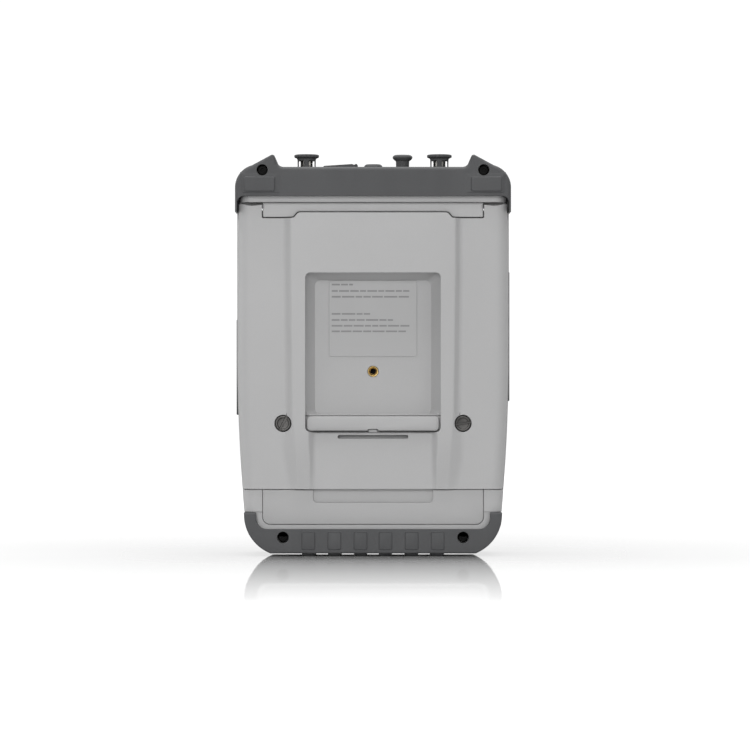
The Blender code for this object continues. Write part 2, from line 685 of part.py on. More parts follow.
def make_cover_screws():
    """Two screws with a coin slot that hold the battery cover."""
    for word, sign, slot_angle in (("right", 1, 62), ("left", -1, 10)):
        x = sign * COIN_X
        head = (x, 0.0263, COIN_Z), (x, 0.0286, COIN_Z)
        screw = rod(f"cover_screw_{word}", *head, COIN_RADIUS, STEEL, 22)
        shank = (x, 0.0135, COIN_Z), (x, 0.0270, COIN_Z)
        join(screw, rod(f"coin_shank_{word}", *shank, 0.0022, None, 12))
        blade = block(f"coin_slot_{word}", (-0.008, 0.008), (0.0272, 0.04), (-0.0007, 0.0007))
        turn = Matrix.Rotation(math.radians(slot_angle), 4, "Y")
        blade.data.transform(Matrix.Translation((x, 0, COIN_Z)) @ turn)
        cut(screw, blade)
        pivot(screw, (x, 0, COIN_Z))


def make_housing_screws():
    """Four long screws that draw the two housings together from the rear."""
    for name, x, z in screw_places():
        seat = SCREW_SEAT + GAP
        head = (x, seat, z), (x, seat + 0.0026, z)
        screw = rod(f"housing_screw_{name}", *head, 0.0036, STEEL, 18)
        shank = (x, -0.0205, z), (x, seat + 0.0005, z)
        join(screw, rod(f"shank_{name}", *shank, 0.0016, None, 10))
        cut(screw, rod(f"socket_{name}", (x, seat + 0.0012, z), (x, 0.04, z), 0.0015, None, 6))


def make_rear_fittings():
    """The brass tripod insert and the rating label in the recess, and the battery pack."""
    ends = (0, 0.0076, INSERT_Z), (0, FLOOR_Y + 0.0002, INSERT_Z)
    insert = rod("tripod_insert", *ends, 0.0037, BRASS, 24)
    cut(insert, rod("insert_thread", (0, 0.0088, INSERT_Z), (0, 0.03, INSERT_Z), 0.0022, None, 20))
    half, low, high = LABEL
    outline = rounded(-half, half, low, high, 0.001, 2)
    prism("label_plate", outline, FLOOR_Y + GAP, FLOOR_Y + 0.0007, LABEL_FILM)
    ys = (BAY_FLOOR + GAP, 0.0225)
    pack = block("battery_pack", (-0.0730, 0.0730), ys, (0.0290, 0.0850), DARK, 0.0015)
    cut(pack, block("pull_notch", (-0.012, 0.012), (0.0200, 0.03), (0.0780, 0.09)))


# ---------------------------------------------------------------- top panel, ports and caps
PANEL_HOLES = (
    # x, radius
    (PORT_X, 0.0062), (-PORT_X, 0.0062), (BNC_X, 0.0054),
)
USB_X = 0.0236
JACK_X = -0.0002


def make_connector_panel():
    """The plate between the horns that carries the connectors."""
    xs = (-WELL_HALF, WELL_HALF)
    panel = block("connector_panel", xs, (WELL_FRONT, WELL_REAR), (0.2655, PANEL_TOP), DARK)
    for x, radius in PANEL_HOLES:
        cut(panel, rod(f"panel_hole_{x:.3f}", (x, PORT_Y, 0.26), (x, PORT_Y, 0.28), radius))
    usb = (USB_X - 0.0078, USB_X + 0.0078)
    cut(panel, block("usb_hole", usb, (PORT_Y - 0.0042, PORT_Y + 0.0042), (0.26, 0.28)))
    cut(panel, rod("jack_hole", (JACK_X, PORT_Y, 0.26), (JACK_X, PORT_Y, 0.28), 0.0035))


def make_test_port(name, x):
    """A threaded coaxial connector through the panel, with its centre contact."""
    profile = [
        (0.0, 0.2855), (0.0006, 0.2855), (0.0006, 0.2795), (0.0024, 0.2795), (0.0030, 0.2862),
        (0.0047, 0.2862), (0.0047, 0.2735), (0.0082, 0.2730), (0.0082, 0.2690), (0.0058, 0.2688),
        (0.0058, 0.2610), (0.0030, 0.2605), (0.0030, 0.2575), (0.0, 0.2575),
    ]
    turned(name, profile, (x, PORT_Y, 0), CHROME, 14)


def make_port_cap(name, x):
    """Soft protective cap with a flat flange and two windows that show the connector."""
    profile = [
        (0.0, 0.2908), (0.0086, 0.2908), (0.0090, 0.2903), (0.0090, 0.2890), (0.0076, 0.2882),
        (0.0064, 0.2874), (0.0062, 0.2820), (0.0074, 0.2800), (0.0074, 0.2742), (0.0051, 0.2742),
        (0.0051, 0.2872), (0.0, 0.2872),
    ]
    cap = turned(name, profile, (x, PORT_Y, 0), RUBBER, 18)
    for sign in (1, -1):
        xs = sorted((x + sign * 0.0020, x + sign * 0.0055))
        cut(cap, block(f"{name}_window_{sign}", xs, (PORT_Y - 0.02, PORT_Y + 0.02), (0.2795, 0.2860)))


def make_top_fittings():
    """Everything that stands on the connector panel."""
    for number, x in ((1, PORT_X), (2, -PORT_X)):
        make_test_port(f"port_{number}_connector", x)
        make_port_cap(f"port_{number}_cap", x)
    bnc = [
        (0.0, 0.2835), (0.0007, 0.2835), (0.0007, 0.2765), (0.0031, 0.2765), (0.0031, 0.2840),
        (0.0040, 0.2840), (0.0040, 0.2715), (0.0066, 0.2712), (0.0066, 0.2690), (0.0050, 0.2688),
        (0.0050, 0.2610), (0.0, 0.2610),
    ]
    turned("bnc_connector", bnc, (BNC_X, PORT_Y, 0), CHROME, 14)
    hood = [
        (0.0, 0.2905), (0.0060, 0.2905), (0.0072, 0.2895), (0.0073, 0.2882), (0.0062, 0.2868),
        (0.0050, 0.2862), (0.0050, 0.2800), (0.0062, 0.2778), (0.0062, 0.2728), (0.0044, 0.2728),
        (0.0044, 0.2846), (0.0, 0.2846),
    ]
    turned("bnc_cap", hood, (BNC_X, PORT_Y, 0), RUBBER, 16)
    make_usb()
    make_jack()


def make_usb():
    """A double socket under a soft wedge-shaped cover."""
    ys = (PORT_Y - 0.0038, PORT_Y + 0.0038)
    usb = block("usb_socket", (USB_X - 0.0074, USB_X + 0.0074), ys, (0.2560, 0.2695), STEEL)
    xs = (USB_X - 0.0066, USB_X + 0.0066)
    cut(usb, block("usb_mouth", xs, (ys[0] + 0.0008, ys[1] - 0.0008), (0.2580, 0.28)))
    wedge = [
        (USB_X - 0.0126, 0.2700), (USB_X + 0.0126, 0.2700), (USB_X + 0.0126, 0.2822),
        (USB_X - 0.0116, 0.2838), (USB_X - 0.0126, 0.2828),
    ]
    prism("usb_cap", wedge, PORT_Y - 0.0080, PORT_Y + 0.0080, RUBBER)


def make_jack():
    """A small trigger jack and its plug."""
    ends = (JACK_X, PORT_Y, 0.2560), (JACK_X, PORT_Y, 0.2692)
    jack = rod("trigger_jack", *ends, 0.0032, CHROME, 18)
    mouth = (JACK_X, PORT_Y, 0.2580), (JACK_X, PORT_Y, 0.28)
    cut(jack, rod("jack_mouth", *mouth, 0.0024, None, 16))
    profile = [
        (0.0, 0.2837), (0.0052, 0.2837), (0.0066, 0.2826), (0.0070, 0.2795), (0.0070, 0.2700),
        (0.0020, 0.2698), (0.0020, 0.2620), (0.0, 0.2620),
    ]
    turned("trigger_jack_cap", profile, (JACK_X, PORT_Y, 0), RUBBER, 16)


# ---------------------------------------------------------------- screen side
def make_display():
    """Cover glass and display module."""
    glass = rounded(-GLASS_HALF, GLASS_HALF, GLASS_LOW, GLASS_HIGH, 0.0037)
    prism("display_glass", glass, FRONT, FRONT + 0.0012, GLASS)
    lcd_height = (GLASS_LOW + 0.003, 0.2585)
    block("lcd_module", (-0.0705, 0.0705), (-0.0280, -0.0215), lcd_height, STEEL, 0.0006)


def make_boards():
    """Key board, main board and the shielded radio-frequency module."""
    keys = block("keypad_board", (-0.0840, 0.0840), (-0.0250, -0.0234), (0.0240, 0.1540), BOARD)
    cut(keys, rod("encoder_hole", (KNOB_X, -0.03, KNOB_Z), (KNOB_X, -0.02, KNOB_Z), 0.0040))
    block("main_board", (-0.0840, 0.0840), (-0.0165, -0.0149), (0.0240, 0.2560), BOARD)
    block("rf_module", (-0.0620, 0.0620), (-0.0140, 0.0055), (0.1160, 0.2540), STEEL, 0.0015)


def make_keys():
    """Keys that travel straight into the front housing, each with a retaining flange."""
    for name, x, z, width, height, corner in KEYS:
        half = width / 2
        tall = height / 2
        material = DARK if name == "power_key" else KEY_GREY
        cap = rounded(x - half, x + half, z - tall, z + tall, corner, 2)
        key = prism(name, cap, KEY_FACE, -0.0278, material)
        half += KEY_FLANGE
        tall += KEY_FLANGE
        flange = rounded(x - half, x + half, z - tall, z + tall, corner, 1)
        join(key, prism(name + "_flange", flange, FRONT + WALL + GAP, -0.0266))
        pivot(key, (x, KEY_FACE, z))


def make_knob():
    """The flat jog dial with its finger dimple, and the encoder behind it."""
    tall = FRONT - GAP - BUMPER_FRONT
    profile = [
        (0.0, tall), (KNOB_RADIUS - 0.0012, tall), (KNOB_RADIUS - 0.0002, tall - 0.0010),
        (KNOB_RADIUS, 0.0), (0.0, 0.0),
    ]
    knob = turned("jog_dial", profile, (KNOB_X, FRONT - GAP, KNOB_Z), DARK, 28)
    knob.rotation_euler = (math.pi / 2, 0, 0)
    shaft = (KNOB_X, FRONT - 0.002, KNOB_Z), (KNOB_X, -0.0240, KNOB_Z)
    join(knob, rod("dial_shaft", *shaft, 0.0030, None, 14))
    dimple_z = KNOB_Z + 0.62 * KNOB_RADIUS
    dimple = (KNOB_X, -0.040, dimple_z), (KNOB_X, -0.0335, dimple_z)
    cut(knob, rod("dial_dimple", *dimple, 0.0042, None, 16))
    block(
        "dial_encoder", (KNOB_X - 0.0065, KNOB_X + 0.0065), (-0.0231, -0.0170),
        (KNOB_Z - 0.0065, KNOB_Z + 0.0065), STEEL, 0.0005,
    )


# ---------------------------------------------------------------- sides
def make_sides():
    """Soft doors over the side sockets, hinged at their front edges."""
    for name, sign, low, high in DOORS:
        xs = sorted((sign * DOOR_INNER, sign * DOOR_OUTER))
        door = block(name, xs, (DOOR_FRONT, DOOR_REAR), (low, high), RUBBER, 0.0006)
        xs = sorted((sign * 0.0985, sign * 0.11))
        ys = (DOOR_REAR - 0.005, DOOR_REAR - 0.0036)
        cut(door, block(name + "_grip", xs, ys, (low + 0.010, high - 0.010)))
        pivot(door, (sign * DOOR_OUTER, DOOR_FRONT, (low + high) / 2))
    for name, sign, z, width, height in SOCKETS:
        half = width / 2
        tall = height / 2
        xs = sorted((sign * 0.0800, sign * 0.0950))
        socket = block(name, xs, (SOCKET_Y - half, SOCKET_Y + half), (z - tall, z + tall), STEEL)
        half -= SOCKET_WALL
        tall -= SOCKET_WALL
        xs = sorted((sign * 0.0840, sign * 0.11))
        ys = (SOCKET_Y - half, SOCKET_Y + half)
        cut(socket, block(name + "_bore", xs, ys, (z - tall, z + tall)))


make_front_housing()
make_rear_housing()
make_top_bumper()
make_bottom_bumper()
make_stand()
make_hinge()
make_battery_cover()
make_cover_screws()
make_housing_screws()
make_rear_fittings()
make_connector_panel()
make_top_fittings()
make_display()
make_boards()
make_keys()
make_knob()
make_sides()
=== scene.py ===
"""Looks for the handheld vector network analyzer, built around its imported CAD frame."""

import math
import random

import bmesh
import bpy
from mathutils import Matrix, Vector


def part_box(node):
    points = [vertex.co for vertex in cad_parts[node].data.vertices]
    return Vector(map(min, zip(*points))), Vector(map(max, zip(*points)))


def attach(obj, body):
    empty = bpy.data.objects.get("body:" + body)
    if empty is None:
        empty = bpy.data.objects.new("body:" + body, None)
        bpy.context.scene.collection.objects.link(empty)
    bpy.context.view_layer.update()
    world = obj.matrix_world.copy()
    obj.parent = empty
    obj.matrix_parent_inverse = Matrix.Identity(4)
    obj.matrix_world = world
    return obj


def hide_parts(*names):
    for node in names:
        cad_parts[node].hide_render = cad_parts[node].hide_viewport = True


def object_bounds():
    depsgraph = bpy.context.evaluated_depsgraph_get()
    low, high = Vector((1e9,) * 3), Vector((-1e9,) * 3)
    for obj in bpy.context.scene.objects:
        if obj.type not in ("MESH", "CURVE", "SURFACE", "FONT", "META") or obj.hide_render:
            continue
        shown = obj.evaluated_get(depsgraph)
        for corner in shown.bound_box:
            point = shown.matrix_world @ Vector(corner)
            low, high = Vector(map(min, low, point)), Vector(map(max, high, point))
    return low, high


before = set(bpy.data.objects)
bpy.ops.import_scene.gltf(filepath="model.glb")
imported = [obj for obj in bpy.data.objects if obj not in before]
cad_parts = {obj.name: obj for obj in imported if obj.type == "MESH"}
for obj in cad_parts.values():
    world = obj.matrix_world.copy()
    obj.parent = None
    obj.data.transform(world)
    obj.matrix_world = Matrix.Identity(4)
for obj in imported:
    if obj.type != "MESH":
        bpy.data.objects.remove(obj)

CAD_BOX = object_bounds()

# ---------------------------------------------------------------- dimensions, metres
GAP = 0.0003              # clearance between two parts
HALF_WIDTH = 0.0983       # the housing above TAPER_START; below it each side draws in by TAPER
TAPER = 0.0084
TAPER_START = 0.150
FRONT = -0.031
REAR = 0.0275
BODY_BOTTOM = 0.006
BODY_TOP = 0.277
LOW_CORNER = 0.026
TOP_CORNER = 0.016
EDGE = 0.008
UNDER_BUMPER = 0.0022     # how far the housing steps in beneath the bumpers
STEP_LOW = 0.0317
STEP_HIGH = 0.2477
RIM_Z = 0.2594            # lower edge of the top bumper on the rear
SCREW_SEAT = 0.0245
SCREW_HOLE = 0.0041
TOP_SCREW = (0.0797, 0.2780)
LOW_SCREW = (0.0648, 0.0135)
SIDEWAYS = 0.11           # cutters run to these, past every face of the instrument
BEHIND = 0.05
FAR_BEHIND = 0.06
IN_FRONT = -0.05
OVERHEAD_Z = 0.31
UNDERNEATH = -0.02

STAND_LOW, STAND_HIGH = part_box("stand")
BUMPER_LOW, BUMPER_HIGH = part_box("top_bumper")
SHOE_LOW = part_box("bottom_bumper")[0]
CREST = STAND_HIGH[1] - 0.00001       # rails' tops, a hair inside the CAD box
PANEL = 0.0295
SKIN = 0.0028
SIDE_ROUND = 0.0090
STAND_INSET = 0.0008
FLANGE_Y = STAND_LOW[1]
HINGE_Y = 0.0265
HINGE_Z = 0.2496
WINDOW_HALF = 0.0487
WINDOW_LOW = 0.0893
WINDOW_HIGH = 0.2040
RAIL_INNER_X = 0.0455
FLOOR_Y = 0.017
FLOOR_LOW = 0.1020
INSERT_Z = 0.1330
COIN_X = 0.0648
COIN_Z = 0.0955
COIN_RADIUS = 0.0059
PORT_Y = 0.002


# ---------------------------------------------------------------- material helpers
class Nodes:
    """Builds one node-based material."""

    def __init__(self, name, colour, roughness, metallic=0.0):
        self.material = bpy.data.materials.new(name)
        self.material.use_nodes = True
        self.tree = self.material.node_tree
        self.shader = self.tree.nodes["Principled BSDF"]
        self.shader.inputs["Base Color"].default_value = (*colour, 1.0)
        self.shader.inputs["Roughness"].default_value = roughness
        self.shader.inputs["Metallic"].default_value = metallic
        self.place = self.tree.nodes.new("ShaderNodeTexCoord").outputs["Object"]

    def node(self, kind, **values):
        """Adds a node, setting its properties and its inputs by name."""
        made = self.tree.nodes.new(kind)
        for key, value in values.items():
            if hasattr(made, key):
                setattr(made, key, value)
            else:
                made.inputs[key.replace("_", " ")].default_value = value
        return made

    def link(self, out, into):
        self.tree.links.new(out, into)

    def noise(self, scale, detail=4.0, roughness=0.6, stretch=None):
        """A noise pattern in object space, as its grey output."""
        made = self.node("ShaderNodeTexNoise", Scale=scale, Detail=detail, Roughness=roughness)
        if stretch:
            mapping = self.node("ShaderNodeMapping")
            mapping.inputs["Scale"].default_value = stretch
            self.link(self.place, mapping.inputs["Vector"])
            self.link(mapping.outputs["Vector"], made.inputs["Vector"])
        else:
            self.link(self.place, made.inputs["Vector"])
        return made.outputs["Fac"]

    def ramp(self, source, low, high, first, second):
        """Two colours spread over a stretch of a grey source."""
        made = self.node("ShaderNodeValToRGB")
        made.color_ramp.elements[0].position = low
        made.color_ramp.elements[1].position = high
        made.color_ramp.elements[0].color = (*first, 1.0)
        made.color_ramp.elements[1].color = (*second, 1.0)
        self.link(source, made.inputs["Fac"])
        return made.outputs["Color"]

    def spread(self, source, low, high):
        """The source mapped from 0..1 to low..high."""
        made = self.node("ShaderNodeMapRange", To_Min=low, To_Max=high)
        self.link(source, made.inputs["Value"])
        return made.outputs["Result"]

    def blend(self, amount, first, second):
        """A colour mix of two sockets or colours."""
        made = self.node("ShaderNodeMix", data_type="RGBA")
        for value, socket in ((amount, 0), (first, 6), (second, 7)):
            if isinstance(value, (tuple, float)):
                made.inputs[socket].default_value = (*value, 1.0) if isinstance(value, tuple) else value
            else:
                self.link(value, made.inputs[socket])
        return made.outputs[2]

    def colour(self, source):
        self.link(source, self.shader.inputs["Base Color"])

    def rough(self, source):
        self.link(source, self.shader.inputs["Roughness"])

    def bump(self, *layers):
        """Stacks height patterns, each (source, strength, depth in metres)."""
        normal = None
        for source, strength, depth in layers:
            made = self.node("ShaderNodeBump", Strength=strength, Distance=depth)
            self.link(source, made.inputs["Height"])
            if normal:
                self.link(normal, made.inputs["Normal"])
            normal = made.outputs["Normal"]
        self.link(normal, self.shader.inputs["Normal"])


def tint(colour, factor):
    """A colour made lighter or darker."""
    return tuple(min(1.0, part * factor) for part in colour)


def moulded(name, colour, roughness, grain, depth, wear=1.06):
    """Injection-moulded plastic: spark-eroded grain, faint flow shading and handling marks."""
    made = Nodes(name, colour, roughness)
    fine = made.noise(grain, 3.0, 0.65)
    broad = made.noise(14.0, 3.0, 0.5)
    smears = made.noise(45.0, 5.0, 0.6, (1.0, 1.0, 0.35))
    body = made.ramp(broad, 0.3, 0.7, tint(colour, 0.975), tint(colour, 1.02))
    speck = made.ramp(fine, 0.35, 0.75, tint(colour, 0.93), tint(colour, wear))
    made.colour(made.blend(0.28, body, speck))
    made.rough(made.spread(smears, roughness - 0.07, roughness + 0.09))
    made.bump((fine, 0.35, depth), (broad, 0.12, 0.0004))
    return made.material


def soft_rubber(name, colour, roughness):
    """Moulded rubber with a powdery bloom and a fine skin."""
    made = Nodes(name, colour, roughness)
    skin = made.noise(2600.0, 3.0, 0.7)
    bloom = made.noise(60.0, 5.0, 0.65)
    made.colour(made.ramp(bloom, 0.25, 0.8, tint(colour, 0.85), tint(colour, 1.5)))
    made.rough(made.spread(bloom, roughness - 0.08, roughness + 0.1))
    made.bump((skin, 0.3, 0.00006),)
    return made.material


def metal(name, colour, roughness, stretch, depth=0.00004, worn=1.15):
    """Machined or plated metal with fine lines along its tool path."""
    made = Nodes(name, colour, roughness, 1.0)
    lines = made.noise(900.0, 4.0, 0.6, stretch)
    stain = made.noise(120.0, 4.0, 0.6)
    made.colour(made.ramp(stain, 0.2, 0.8, tint(colour, 0.82), tint(colour, worn)))
    made.rough(made.spread(lines, max(0.05, roughness - 0.1), roughness + 0.14))
    made.bump((lines, 0.25, depth),)
    return made.material


def circuit(name):
    """Green board with copper tracks under the mask and pale component prints."""
    mask = (0.012, 0.11, 0.045)
    made = Nodes(name, mask, 0.35)
    tracks = made.node(
        "ShaderNodeTexBrick", Scale=190.0, Mortar_Size=0.09, Row_Height=0.3, Brick_Width=1.7,
    )
    made.link(made.place, tracks.inputs["Vector"])
    tracks.inputs["Color1"].default_value = (*mask, 1.0)
    tracks.inputs["Color2"].default_value = (*tint(mask, 1.35), 1.0)
    tracks.inputs["Mortar"].default_value = (0.03, 0.24, 0.09, 1.0)
    solder = made.ramp(made.noise(300.0), 0.4, 0.6, mask, tint(mask, 1.6))
    made.colour(made.blend(0.75, solder, tracks.outputs["Color"]))
    made.rough(made.spread(made.noise(400.0), 0.25, 0.5))
    made.bump((tracks.outputs["Fac"], 0.3, 0.00005),)
    return made.material


def glass_face(name, colour):
    """Display cover: near-black, glossy, with a faint anti-glare bloom."""
    made = Nodes(name, colour, 0.12)
    bloom = made.noise(30.0, 4.0, 0.5)
    made.colour(made.ramp(bloom, 0.3, 0.7, tint(colour, 0.8), tint(colour, 1.4)))
    made.rough(made.spread(made.noise(700.0, 3.0, 0.6), 0.06, 0.16))
    made.shader.inputs["Coat Weight"].default_value = 0.6
    made.shader.inputs["Coat Roughness"].default_value = 0.05
    return made.material


LIGHT = moulded("light_plastic", (0.447, 0.447, 0.449), 0.52, 1500.0, 0.00007)
GUARD = moulded("bumper_plastic", (0.050, 0.051, 0.0535), 0.62, 1900.0, 0.00009, 1.25)
DARK = moulded("dark_plastic", (0.045, 0.045, 0.047), 0.58, 1700.0, 0.00007, 1.3)
KEY = moulded("key_plastic", (0.33, 0.33, 0.335), 0.5, 2200.0, 0.00005)
PRINT = moulded("print_ink", (0.26, 0.26, 0.262), 0.6, 2500.0, 0.00002)
LEGEND = moulded("key_legend", (0.03, 0.03, 0.033), 0.6, 2500.0, 0.00002)
PALE_INK = moulded("pale_legend", (0.6, 0.6, 0.6), 0.6, 2500.0, 0.00002)
FILM = moulded("label_film", (0.415, 0.415, 0.417), 0.42, 3000.0, 0.00002)
RUBBER = soft_rubber("black_rubber", (0.055, 0.056, 0.058), 0.68)
DOOR = soft_rubber("door_rubber", (0.040, 0.041, 0.043), 0.72)
BRASS = metal("brass", (0.40, 0.28, 0.11), 0.30, (1.0, 9.0, 1.0))
BLACKED = metal("dark_steel", (0.036, 0.035, 0.034), 0.34, (6.0, 1.0, 1.0), 0.00008, 1.8)
# Near-black steel: on the housing screws it is their own dark finish plus painted shade of their deep
# holes; on the tripod bush's end disc it is painted shade inside the bore.
DARK_SCREW_AND_PAINTED_SHADE = metal("dark_screw_and_painted_shade", (0.008, 0.008, 0.008), 0.5, (1.0, 1.0, 1.0))
STEEL = metal("steel", (0.52, 0.52, 0.53), 0.3, (1.0, 1.0, 8.0))
PLATED = metal("connector_metal", (0.80, 0.79, 0.76), 0.16, (1.0, 1.0, 9.0), 0.00003)
GOLD = metal("contact_gold", (0.83, 0.60, 0.22), 0.2, (1.0, 1.0, 5.0), 0.00002)
CAST = metal("shield_metal", (0.58, 0.58, 0.59), 0.42, (1.0, 1.0, 1.0), 0.0001)
BOARD = circuit("circuit_board")
GLASS = glass_face("display_glass", (0.012, 0.013, 0.016))


# ---------------------------------------------------------------- mesh helpers
SAME = 1e-7               # metres: points closer than this coincide
NEAR = 1e-6
WELD = 2e-6
FLAT = 0.02               # degrees: faces that differ by less are merged


def half_width(z):
    """Half width of the housing at a height: straight above, drawing in below."""
    below = max(0.0, TAPER_START - z) / TAPER_START
    return HALF_WIDTH - TAPER * below ** 2


def arc(centre, radius, start, end, steps):
    """Points along a round corner, from one angle to another in degrees."""
    turns = [math.radians(start + (end - start) * i / steps) for i in range(steps + 1)]
    return [(centre[0] + radius * math.cos(t), centre[1] + radius * math.sin(t)) for t in turns]


def mirrored(right):
    """Closes an outline that is given up its +X side."""
    return right + [(-x, z) for x, z in reversed(right)]


def rounded(x0, x1, z0, z1, radius, steps=8):
    """A rectangle with round corners."""
    points = []
    for x, z, start in ((x1, z0, -90), (x1, z1, 0), (x0, z1, 90), (x0, z0, 180)):
        middle_x = x - math.copysign(radius, x - (x0 + x1) / 2)
        middle_z = z - math.copysign(radius, z - (z0 + z1) / 2)
        points += arc((middle_x, middle_z), radius, start, start + 90, steps)
    return points


def filleted(points, reaches, steps=6):
    """An open run of points whose inner corners are replaced by smooth curves."""
    run = [points[0]]
    for before, at, after, reach in zip(points, points[1:], points[2:], reaches):
        at = Vector(at)
        back = Vector(before) - at
        onward = Vector(after) - at
        first = at + back.normalized() * min(reach, 0.48 * back.length)
        last = at + onward.normalized() * min(reach, 0.48 * onward.length)
        for i in range(steps + 1):
            t = i / steps
            run.append(tuple(first * (1 - t) ** 2 + at * 2 * t * (1 - t) + last * t ** 2))
    return run + [points[-1]]


def new_object(name, shape):
    """Turns a bmesh into an object with its faces pointing out."""
    bmesh.ops.recalc_face_normals(shape, faces=shape.faces)
    mesh = bpy.data.meshes.new(name)
    shape.to_mesh(mesh)
    shape.free()
    obj = bpy.data.objects.new(name, mesh)
    bpy.context.scene.collection.objects.link(obj)
    return obj


def prism(name, outline, y0, y1, rim=0.0, rim_steps=6, side=0):
    """An outline in the XZ plane run from y0 to y1, with its rims rounded on request.

    side picks the rims: 0 both, -1 only the one at y0, 1 only the one at y1.
    """
    shape = bmesh.new()
    low = [shape.verts.new((x, y0, z)) for x, z in outline]
    high = [shape.verts.new((x, y1, z)) for x, z in outline]
    shape.faces.new(low)
    shape.faces.new(high)
    for i in range(len(outline)):
        j = (i + 1) % len(outline)
        shape.faces.new((low[i], low[j], high[j], high[i]))
    bmesh.ops.recalc_face_normals(shape, faces=shape.faces)
    if rim:
        chosen = [y for y, sign in ((y0, -1), (y1, 1)) if side in (0, sign)]
        edges = [
            edge for edge in shape.edges
            if any(all(abs(v.co.y - y) < NEAR for v in edge.verts) for y in chosen)
        ]
        bmesh.ops.bevel(
            shape, geom=edges, offset=rim, offset_type="OFFSET", segments=rim_steps,
            profile=0.5, affect="EDGES", clamp_overlap=True,
        )
    return new_object(name, shape)


def close_loft(shape, rings):
    """Skins a stack of equal rings of vertices and caps its two ends."""
    for lower, upper in zip(rings, rings[1:]):
        for i in range(len(lower)):
            j = (i + 1) % len(lower)
            shape.faces.new((lower[i], lower[j], upper[j], upper[i]))
    shape.faces.new(rings[0])
    shape.faces.new(rings[-1])


def stacked(name, layers):
    """A closed shape through outlines with equal point counts, given as (y, outline)."""
    shape = bmesh.new()
    close_loft(shape, [[shape.verts.new((x, y, z)) for x, z in outline] for y, outline in layers])
    return new_object(name, shape)


def rimmed(name, outline, rims, y0, y1, steps=6):
    """An outline run from y0 to y1 with both rims rounded, each point with its own radius."""
    inward = []
    for i, point in enumerate(outline):
        come = (Vector(point) - Vector(outline[i - 1])).normalized()
        go = (Vector(outline[(i + 1) % len(outline)]) - Vector(point)).normalized()
        one = Vector((-come.y, come.x))
        two = Vector((-go.y, go.x))
        inward.append((one + two) / (1.0 + one.dot(two)))
    turns = [math.pi / 2 * i / steps for i in range(steps + 1)]
    shape = bmesh.new()
    rings = []
    for face, sign, run in ((y0, 1, turns), (y1, -1, turns[::-1])):
        for t in run:
            ring = []
            for (x, z), shift, rim in zip(outline, inward, rims):
                step = shift * rim * (1 - math.sin(t))
                depth = sign * rim * (1 - math.cos(t))
                ring.append(shape.verts.new((x + step.x, face + depth, z + step.y)))
            rings.append(ring)
    close_loft(shape, rings)
    return new_object(name, shape)


def block(name, xs, ys, zs, bevel=0.0, steps=3):
    """A box between two corners, with its edges rounded on request."""
    shape = bmesh.new()
    size = Matrix.Diagonal((xs[1] - xs[0], ys[1] - ys[0], zs[1] - zs[0], 1))
    middle = Vector((sum(xs) / 2, sum(ys) / 2, sum(zs) / 2))
    bmesh.ops.create_cube(shape, size=1, matrix=Matrix.Translation(middle) @ size)
    if bevel:
        bmesh.ops.bevel(
            shape, geom=shape.edges[:], offset=bevel, offset_type="OFFSET", segments=steps,
            profile=0.5, affect="EDGES", clamp_overlap=True,
        )
    return new_object(name, shape)


def rod(name, start, end, radius, steps=40, bevel=0.0):
    """A round bar from one point to another."""
    start = Vector(start)
    end = Vector(end)
    shape = bmesh.new()
    bmesh.ops.create_cone(
        shape, cap_ends=True, segments=steps, radius1=radius, radius2=radius,
        depth=(end - start).length,
    )
    if bevel:
        rims = [
            edge for edge in shape.edges
            if abs(edge.verts[0].co.z - edge.verts[1].co.z) < SAME
        ]
        bmesh.ops.bevel(
            shape, geom=rims, offset=bevel, offset_type="OFFSET", segments=3, profile=0.5,
            affect="EDGES", clamp_overlap=True,
        )
    turn = Vector((0, 0, 1)).rotation_difference(end - start).to_matrix().to_4x4()
    bmesh.ops.transform(shape, matrix=Matrix.Translation((start + end) / 2) @ turn, verts=shape.verts)
    return new_object(name, shape)


def turned(name, profile, place, steps=64, axis="Z"):
    """A lathe shape from (radius, height) points, about an upright axis or one along Y.

    With axis "Y" a height is a distance towards the screen side. A profile that ends
    where it starts is closed into a ring.
    """
    shape = bmesh.new()
    rings = []
    for radius, z in profile:
        if radius < SAME:
            rings.append([shape.verts.new((0, 0, z))])
        else:
            turns = [2 * math.pi * i / steps for i in range(steps)]
            rings.append([
                shape.verts.new((radius * math.cos(t), radius * math.sin(t), z)) for t in turns
            ])
    if profile[0] == profile[-1]:
        rings[-1] = rings[0]
    for lower, upper in zip(rings, rings[1:]):
        for i in range(steps):
            j = (i + 1) % steps
            corners = list(dict.fromkeys((
                lower[i % len(lower)], lower[j % len(lower)], upper[j % len(upper)], upper[i % len(upper)],
            )))
            if len(corners) > 2:
                shape.faces.new(corners)
    turn = Matrix.Rotation(math.pi / 2, 4, "X") if axis == "Y" else Matrix()
    bmesh.ops.transform(shape, matrix=Matrix.Translation(place) @ turn, verts=shape.verts)
    return new_object(name, shape)


def soft_profile(points, reach, steps=4):
    """A lathe profile with its inner corners eased."""
    return filleted(points, [reach] * (len(points) - 2), steps)


def bake(obj):
    """Puts the result of the modifiers into the mesh and joins its flat faces."""
    bpy.context.view_layer.update()
    graph = bpy.context.evaluated_depsgraph_get()
    mesh = bpy.data.meshes.new_from_object(obj.evaluated_get(graph))
    obj.modifiers.clear()
    old = obj.data
    obj.data = mesh
    bpy.data.meshes.remove(old)
    shape = bmesh.new()
    shape.from_mesh(mesh)
    bmesh.ops.remove_doubles(shape, verts=shape.verts, dist=WELD)
    bmesh.ops.dissolve_limit(
        shape, angle_limit=math.radians(FLAT), verts=shape.verts, edges=shape.edges,
    )
    bmesh.ops.dissolve_degenerate(shape, edges=shape.edges, dist=WELD)
    shape.to_mesh(mesh)
    shape.free()
    return obj


def boolean(target, others, operation):
    """Applies one Boolean after another and removes the shapes used up."""
    for other in others:
        modifier = target.modifiers.new("Shape", "BOOLEAN")
        modifier.operation = operation
        modifier.solver = "EXACT"
        modifier.object = other
    bake(target)
    for other in others:
        bpy.data.objects.remove(other, do_unlink=True)
    return target


